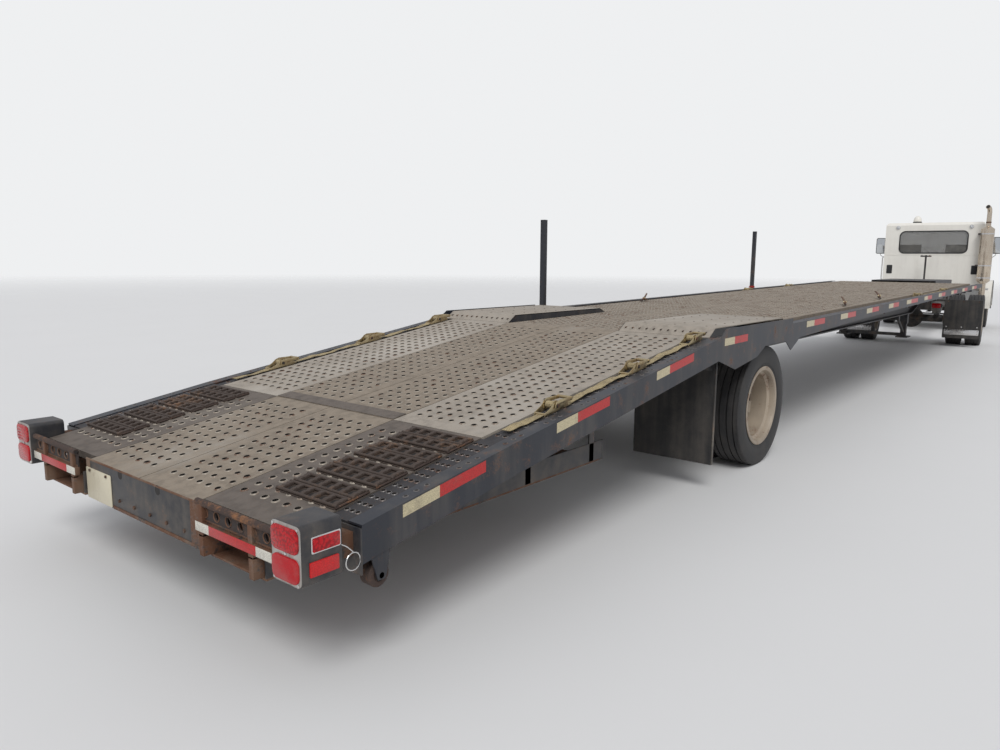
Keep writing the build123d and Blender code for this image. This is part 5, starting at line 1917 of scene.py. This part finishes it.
@dataclass
class CabDress:
    """What the cab carries: seals, lamps, vents, beacon, handles, wipers and rivets."""

    back: float = 3000
    half: float = 1000
    roof: float = 2500
    window_middle: Pair = (0, 2050)
    window_size: Pair = (1380, 500)
    lamp: Pair = (740, 2392)
    lamp_r: float = 44
    vent: Pair = (865, 1420)
    vent_size: Pair = (120, 200)
    slats: int = 9
    markers: tuple[float, ...] = (-500, -180, 0, 180, 500)
    marker_x: float = 3850
    marker_levels: tuple[Pair, ...] = ((0, 40), (14, 40), (26, 34), (35, 16))
    beacon: Pair = (3450, 400)
    beacon_base: tuple[Pair, ...] = ((0, 96), (34, 96), (42, 88))
    beacon_dome: tuple[Pair, ...] = (
        (41, 84), (60, 86), (110, 80), (145, 62), (172, 34), (182, 8))
    screen_low: Pair = (4310, 1764)
    screen_high: Pair = (4042, 2370)
    screen_half: float = 860
    wipers: Pair = (-560, 120)
    grab_x: float = 3130
    grab: tuple[Pair, ...] = (
        (-4, 1150), (42, 1185), (46, 1300), (46, 1560), (42, 1690), (-4, 1725))
    rivet_rows: Pair = (1035, 1745)
    rivet_pitch: float = 105
    door_seal: tuple[Pair, ...] = (
        (3360, 1740), (3360, 2290), (3905, 2290), (4125, 1790), (4125, 1740))
    latch: tuple[Pair, ...] = ((3300, 1550), (3460, 1550), (3460, 1600), (3300, 1600))
    grip: tuple[Pair, ...] = ((3312, 4), (3322, 30), (3440, 30), (3450, 4))
    grip_z: float = 1576
    mirror: Pair = (1225, 1990)
    mirror_size: Pair = (220, 390)
    mirror_rim: float = 28
    mirror_x: Pair = (4039, 4078)
    arm: tuple[Point, ...] = ((4055, 150, 1700), (4055, 222, 1760), (4055, 225, 1800))
    moulding_x: Pair = (3290, 4215)
    mouldings: tuple[Pair, ...] = ((1085, 1100), (1400, 1412))

    def lamps(self) -> None:
        """Build the lamps, vents, roof markers and the beacon."""
        piece = Shape(TRACTOR)
        back, lamp_r = self.back, self.lamp_r
        (y, z), (width, height) = self.vent, self.vent_size
        for piece.side in SIDES:
            piece.bar(self.lamp, (back, back - 18), lamp_r, Finish.CHROME, 28)
            piece.bar(self.lamp, (back - 17, back - 21, back - 24),
                      [lamp_r - 7, lamp_r - 9, lamp_r - 22], Finish.CLEAR_LENS, 24)
            piece.pad(self.vent, self.vent_size, 14, (back - 8, back), Finish.PLASTIC, 2, steps=4)
            for i in range(self.slats):
                up = z - height / 2 + 18 + 20 * i
                slat = [(back - 12, up - 4), (back - 6, up - 4), (back - 6, up + 9)]
                piece.prism(slat, (y - width / 2 + 12, y + width / 2 - 12), Finish.PLASTIC)
        piece.side = STILL
        for y in self.markers:
            piece.dome((self.marker_x, y, self.roof), self.marker_levels, Finish.AMBER_LENS, 24)
        for levels, finish in ((self.beacon_base, Finish.PLASTIC), (self.beacon_dome, Finish.CAB)):
            piece.dome((*self.beacon, self.roof), levels, finish, 32)
        piece.done("cab_lamps_dressed", "tractor", "lamp_plastic", "cab_lamps")

    def screen(self, piece: Shape) -> None:
        """Add the windscreen's seal and both wipers.

        Args:
            piece: The piece that takes them.
        """
        bottom, top = (Vector((x, 0, z)) for x, z in (self.screen_low, self.screen_high))
        run, across = (top - bottom).normalized(), Vector((0, 1, 0))
        out = Vector((run.z, 0, -run.x))
        outline = rounded(2 * self.screen_half, (top - bottom).length, 60, 5)
        centre = (bottom + top) / 2
        piece.tube([centre + across * a + run * b for a, b in outline], 12, Finish.GASKET, 10, True)
        for y in self.wipers:
            foot = bottom + across * y + out * 16 - run * 8
            elbow, tip = foot + run * 190 + across * 170, foot + run * 300 + across * 420
            blade = [elbow - across * 170 + run * 20, elbow + out * 2, tip]
            piece.tube([foot, elbow + out * 4], 8, Finish.PLASTIC)
            piece.tube(blade, 6, Finish.PLASTIC)
            piece.tube([foot - out * 12, foot + out * 8], 20, Finish.PLASTIC, 14)

    def shell(self) -> None:
        """Build the seals, wipers, handles and rivets on the cab's shell."""
        piece = Shape(TRACTOR)
        back = self.back
        piece.piping(back - 3, self.window_middle, self.window_size, 110, 13, Finish.GASKET,
                     steps=8)
        self.screen(piece)
        rivets = [(60 + self.rivet_pitch * i, z) for i in range(9) for z in self.rivet_rows]
        rivets += [(955, 1080 + self.rivet_pitch * i) for i in range(12)]
        for piece.side in SIDES:
            bar = smooth_run([(self.grab_x, self.half + out, z) for out, z in self.grab])
            piece.tube(bar, 13, Finish.CHROME, 14)
            for spot in rivets:
                piece.bar(spot, (back, back - 3), [9, 5], Finish.CAB, 10)
            piece.box((back - 4, back), (300, 312), (1020, 1730), Finish.CAB, 1.5)
        piece.side = STILL
        piece.box((back - 5, back), (-960, 960), (1752, 1764), Finish.CAB, 1.5)
        piece.done("cab_fittings", "tractor", "cab_paint")

    def door(self, side: Matrix, word: str) -> None:
        """Build one door's seal, handle and mirror.

        Args:
            side: Identity for the left door, the mirror for the right.
            word: The side's name.
        """
        piece = Shape(TRACTOR, side)
        face, (start, end) = self.half, self.mirror_x
        piece.tube([(x, face + 1, z) for x, z in self.door_seal], 10, Finish.GASKET, 8, True)
        piece.prism(self.latch, (face - 2, face + 6), Finish.PLASTIC, bevel=2)
        grip = smooth_run([(x, face + out, self.grip_z) for x, out in self.grip])
        piece.tube(grip, 10, Finish.CHROME, 12)
        glass = tuple(size - self.mirror_rim for size in self.mirror_size)
        piece.pad(self.mirror, self.mirror_size, 34, self.mirror_x, Finish.PLASTIC, 7)
        piece.pad(self.mirror, glass, 26, (start - 3, start + 2), Finish.MIRROR_GLASS)
        piece.tube([(x, face + out, z) for x, out, z in self.arm], 9, Finish.CHROME, 12)
        for z in self.mouldings:
            piece.box(self.moulding_x, (face, face + 5), z, Finish.CAB)
        piece.done(f"door_fittings_{word}", f"door_{word}", "trim_plastic")

    def build(self) -> None:
        """Build all the cab's fittings."""
        self.lamps()
        self.shell()
        for side, word in NAMED_SIDES:
            self.door(side, word)


@dataclass
class HoodDress:
    """Grille, lamps, louvres, latches and arch lips on the hood."""

    front: float = 5890
    half: float = 640
    grille: Pair = (0, 1100)
    grille_size: Pair = (900, 520)
    backing: Pair = (5858, 5862)
    slats: int = 21
    slat_pitch: float = 42
    louvres: int = 9
    louvre_x: float = 4620
    louvre_z: Pair = (1250, 1400)
    latch_x: Pair = (4400, 4450)
    lamp: Pair = (890, 930)
    lamp_size: Pair = (352, 172)
    indicator_y: float = 1130
    indicator_size: Pair = (92, 120)
    lip: Point = (5050, 1211, 490)
    lip_r: float = 662
    crease: tuple[Point, Point] = ((4370, 0, 1692), (5846, 0, 1485))

    def build(self) -> None:
        """Build the hood's fittings."""
        piece = Shape(TRACTOR)
        front, half = self.front, self.half
        piece.piping(front + 2, self.grille, self.grille_size, 46, 16, Finish.CHROME, 12)
        piece.box(self.backing, (-440, 440), (850, 1350), Finish.PLASTIC, 1)
        for i in range(self.slats):
            y = self.slat_pitch * (i - 10)
            piece.box((front - 5, front + 2), (y - 3, y + 3), (868, 1332), Finish.CHROME, 1)
        for piece.side in SIDES:
            for i in range(self.louvres):
                x = self.louvre_x + 52 * i
                rib = [(x, half - 2), (x + 34, half - 2), (x + 34, half + 7)]
                piece.prism(rib, self.louvre_z, Finish.CAB, "z")
            piece.box(self.latch_x, (half - 2, half + 12), (1080, 1200), Finish.PLASTIC, 4)
            x = sum(self.latch_x) / 2
            piece.tube([(x, half + 14, 1070), (x, half + 16, 1215)], 9, Finish.HOSE, 12)
            piece.piping(front + 8, self.lamp, self.lamp_size, 18, 9, Finish.CHROME, steps=4)
            piece.pad((self.indicator_y, self.lamp[1]), self.indicator_size, 14,
                      (front - 1, front + 13), Finish.AMBER_LENS, 3, steps=4)
            x, y, z = self.lip
            arc = [radians(2 + 4 * i) for i in range(45)]
            piece.tube([(x + self.lip_r * cos(a), y, z + self.lip_r * sin(a)) for a in arc],
                       9, Finish.PLASTIC, 10)
            piece.bar((5180, 1100), (1140, 1230), 5, Finish.CHROME, 8, "z")
        piece.side = STILL
        piece.tube(self.crease, 9, Finish.CAB, 10)
        piece.done("hood_fittings", "hood", "cab_paint")


@dataclass
class ChassisDress:
    """Exhaust stack, tank straps and caps, step treads and flap plates of the tractor."""

    stack: Pair = (2840, -1060)
    muffler_r: float = 130
    pipe_r: float = 46
    tip: tuple[Point, ...] = ((0, 0, 2636), (0, 0, 2700), (-26, 11, 2772), (-92, 39, 2807.5))
    clamps: tuple[float, ...] = (1250, 1520, 2220)
    pipe_clamp: float = 2470
    brackets: tuple[float, ...] = (1500, 2200)
    stand_at: Pair = (2700, 90)
    stand_top: float = 1740
    hook: tuple[Pair, ...] = ((-14, -8), (-44, -20), (-50, -2), (-40, 12))
    tank: Pair = (820, 700)
    tank_r: float = 280
    tank_straps: tuple[float, ...] = (3300, 3950)
    tank_ends: tuple[float, ...] = (3122, 4118)
    neck: Point = (3200, 1040, 873)
    treads: int = 6
    tread_x: Pair = (3460, 4140)
    flap_x: float = -790
    flap_plate: Pair = (907.5, 285)
    flap_plate_size: Pair = (560, 100)
    tail_lamp: Pair = (480, 780)
    tail_lamp_size: Pair = (150, 90)

    def exhaust(self) -> None:
        """Build the stack with its muffler, clamps and bent tip."""
        piece = Shape(TRACTOR)
        (x, y), wide, pipe = self.stack, self.muffler_r, self.pipe_r
        piece.dome((x, y, 0), ((700, 60), (1120, 60), (1180, wide), (1190, wide + 2),
                               (2320, wide + 2), (2330, wide), (2390, pipe + 4), (2640, pipe)),
                   Finish.STACK, 40)
        bend = smooth_run([(x + a, y + b, z) for a, b, z in self.tip], 5)
        piece.tube(bend, pipe, Finish.STACK, 24)
        end, run = bend[-1], (bend[-1] - bend[-2]).normalized()
        # A dark disc in the tip's mouth: painted shade inside the pipe.
        piece.tube([end - run * 2, end + run * 0.8], pipe - 6, Finish.HOLE_SHADE, 20)
        for z in self.clamps:
            piece.band((x, y, z), "z", wide + 1, (26, 5), Finish.CHROME)
        piece.band((x, y, self.pipe_clamp), "z", pipe, (30, 6), Finish.IRON)
        for z in self.brackets:
            piece.box((x, 3000), (-980, -880), (z, z + 40), Finish.CHASSIS, 3)
        piece.done("exhaust_stack", "tractor", "bright", "exhaust")

    def stand(self) -> None:
        """Build the stand behind the cab."""
        piece = Shape(TRACTOR)
        (x, y), top = self.stand_at, self.stand_top
        piece.box((x - 60, x + 60), (-385, 385), (900, 920), Finish.CHASSIS, 3)
        piece.bar((x, y), (918, top), 20, Finish.CHASSIS, 20, "z")
        piece.bar((x, top - 15), (y - 110, y + 110), 16, Finish.CHASSIS, 16, "y")
        piece.bar((x, y), (top - 1, top + 12), [20, 8], Finish.CHASSIS, 20, "z")
        for way in (-1, 1):
            hook = smooth_run([(x + a, y + way * 80, top + up) for a, up in self.hook])
            piece.tube(hook, 7, Finish.IRON)
            piece.tube([(x, y + way * 20, 1150), (x, y + way * 180, 921)], 12, Finish.CHASSIS, 12)
        piece.done("hose_stand_dressed", "tractor", "hose_rubber", "hose_stand")

    def flap_fittings(self, piece: Shape) -> None:
        """Add the left flap's weight plate, its bolts and the tail lamp.

        Args:
            piece: The piece that takes them.
        """
        x = self.flap_x
        piece.pad(self.flap_plate, self.flap_plate_size, 12, (x - 5, x + 1), Finish.CHROME,
                  steps=4)
        for y in (660, 907, 1155):
            piece.bar((y, 385), (x, x - 9), [15, 11], Finish.CHROME, 12)
            piece.bar((y, 860), (x + 1, x - 9), 12, Finish.IRON)
        for z in (255, 315):
            for y in (650, 1165):
                piece.bar((y, z), (x - 4, x - 9), 7, Finish.IRON)
        for rear in (-960, -880):
            piece.bar((rear, 385), (899, 907), 14, Finish.IRON, 6, "z")
        piece.pad(self.tail_lamp, self.tail_lamp_size, 20, (-1000.5, -985), Finish.RED_LENS, 3,
                  steps=4)

    def tanks(self) -> None:
        """Build the tanks' straps, rims, caps and step treads, and the flaps' plates."""
        piece = Shape(TRACTOR)
        neck, out = Vector(self.neck), Vector((0, 220, 173)).normalized()
        for piece.side in SIDES:
            for x in self.tank_straps:
                piece.band((x, *self.tank), "x", self.tank_r, (50, 4), Finish.CHROME)
            for x in self.tank_ends:
                piece.band((x, *self.tank), "x", self.tank_r - 3, (16, 7), Finish.TANK)
            piece.tube([neck - out * 6, neck + out * 18], 38, Finish.TANK, 24)
            piece.tube([neck + out * 18, neck + out * 40], [46, 43], Finish.IRON, 24)
            for i in range(self.treads):
                y = 915 + 42 * i
                piece.box(self.tread_x, (y, y + 9), (984, 989), Finish.TANK, 1)
            self.flap_fittings(piece)
        piece.done("chassis_fittings", "tractor", "bright")

    def build(self) -> None:
        """Build the chassis fittings."""
        self.exhaust()
        self.stand()
        self.tanks()


@dataclass(frozen=True)
class Nodes:
    """Finishes of the CAD nodes that stay in view."""

    by_finish: tuple[tuple[Finish, tuple[str, ...]], ...] = (
        (Finish.FRAME, ("trailer_frame", "crossmembers", "stakes", "landing_gear")),
        (Finish.DARK_RUST, ("trailer_axle", "fifth_wheel")),
        (Finish.IRON, ("tie_rod", "knuckle_left", "knuckle_right")),
        (Finish.FLAP, ("trailer_flaps", "drive_flaps")),
        (Finish.CHASSIS, ("tractor_frame", "drive_axle", "front_axle", "engine")),
        (Finish.CAB, ("cab", "door_left", "door_right", "hood")),
        (Finish.GLASS, ("cab_glass", "door_glass_left", "door_glass_right")),
        (Finish.TRIM, ("interior",)),
        (Finish.CHROME, ("bumper",)),
        (Finish.TANK, ("tanks",)),
        (Finish.CLEAR_LENS, ("headlamps",)),
    )

    def build(self) -> None:
        """Give each node its finish."""
        for finish, names in self.by_finish:
            for name in names:
                for slot in frame["nodes"][name].material_slots:
                    slot.material = finish.material


@dataclass
class Studio:
    """Pale floor, soft light and the camera at the photograph's place."""

    eye: Point = (-12.34284, -3.57455, 1.56758)
    yaw: float = 0.69186
    pitch: float = 0.15131
    roll: float = 0.00723
    focal: float = 753.963
    frame_width: float = 1000.0
    sensor: float = 36
    floor_colour: Colour = (0.74, 0.735, 0.725)
    floor_half: float = 90.0
    fade: Pair = (24, 75)
    sky: Colour = (0.93, 0.95, 1.0)
    sky_strength: float = 0.62
    backdrop: Colour = (0.86, 0.87, 0.88)
    sun_strength: float = 1.5
    sun_width: float = 25
    sun_turn: Point = (38, -14, -35)

    def camera(self) -> None:
        """Set the camera."""
        level, down = cos(self.pitch), -sin(self.pitch)
        ahead = Vector((cos(self.yaw) * level, sin(self.yaw) * level, down))
        flat = Vector((sin(self.yaw), -cos(self.yaw), 0))
        steep = flat.cross(ahead)
        right = flat * cos(self.roll) + steep * sin(self.roll)
        up = steep * cos(self.roll) - flat * sin(self.roll)
        lens = bpy.data.cameras.new("camera")
        lens.sensor_width = self.sensor
        lens.lens = self.sensor * self.focal / self.frame_width
        lens.clip_end = 500
        made = bpy.data.objects.new("camera", lens)
        turn = Matrix((right, up, -ahead)).transposed().to_4x4()
        made.matrix_world = Matrix.Translation(self.eye) @ turn
        bpy.context.scene.collection.objects.link(made)
        bpy.context.scene.camera = made

    def floor(self) -> None:
        """Lay the floor."""
        g = Graph("floor")
        tone = g.noise(0.6, 5)
        sockets = {0: g.place}
        reach = g.node("ShaderNodeVectorMath", {"operation": "LENGTH"}, sockets, "Value")
        g.plug(g.shader.inputs["Alpha"], 1 - reach.above(*self.fade))
        colour = g.mix(self.floor_colour, shade(self.floor_colour, 0.96), tone)
        g.finish(colour, 0.85, g.noise(90, 3), 0.03)
        mesh = bpy.data.meshes.new("floor")
        corners = [(self.floor_half * sx, self.floor_half * sy, 0) for sx, sy in CORNERS]
        mesh.from_pydata(corners, [], [(2, 3, 0, 1)])
        mesh.materials.append(g.material)
        made = bpy.data.objects.new("floor", mesh)
        bpy.context.scene.collection.objects.link(made)

    def light(self) -> None:
        """Set the world and one wide soft sun."""
        scene = bpy.context.scene
        scene.view_settings.view_transform = "Standard"
        world = bpy.data.worlds.new("sky")
        scene.world = world
        world.use_nodes = True
        nodes, links = world.node_tree.nodes, world.node_tree.links
        base, seen = nodes["Background"], nodes.new("ShaderNodeBackground")
        base.inputs["Color"].default_value = (*self.sky, 1)
        base.inputs["Strength"].default_value = self.sky_strength
        seen.inputs["Color"].default_value = (*self.backdrop, 1)
        path, blend = nodes.new("ShaderNodeLightPath"), nodes.new("ShaderNodeMixShader")
        ends = (path.outputs["Is Camera Ray"], base.outputs[0], seen.outputs[0])
        for start, socket in zip(ends, blend.inputs):
            links.new(start, socket)
        links.new(blend.outputs[0], nodes["World Output"].inputs[0])
        sun = bpy.data.lights.new("sun", "SUN")
        sun.energy = self.sun_strength
        sun.angle = radians(self.sun_width)
        made = bpy.data.objects.new("sun", sun)
        made.rotation_euler = [radians(turn) for turn in self.sun_turn]
        scene.collection.objects.link(made)

    def build(self) -> None:
        """Set up the studio."""
        self.camera()
        self.floor()
        self.light()


def main() -> None:
    """Build the vehicle's looks and the studio."""
    logging.basicConfig(level=logging.INFO, format="%(name)s %(message)s")
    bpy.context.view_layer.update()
    Studio().build()
    for assembly in (Nodes(), Deck(), Rails(), RearEnd(), RunningGear(), Restraints(),
                     Undergear(), CabDress(), HoodDress(), ChassisDress()):
        LOG.info("building %s", type(assembly).__name__)
        assembly.build()


if __name__ == "__main__":
    main()
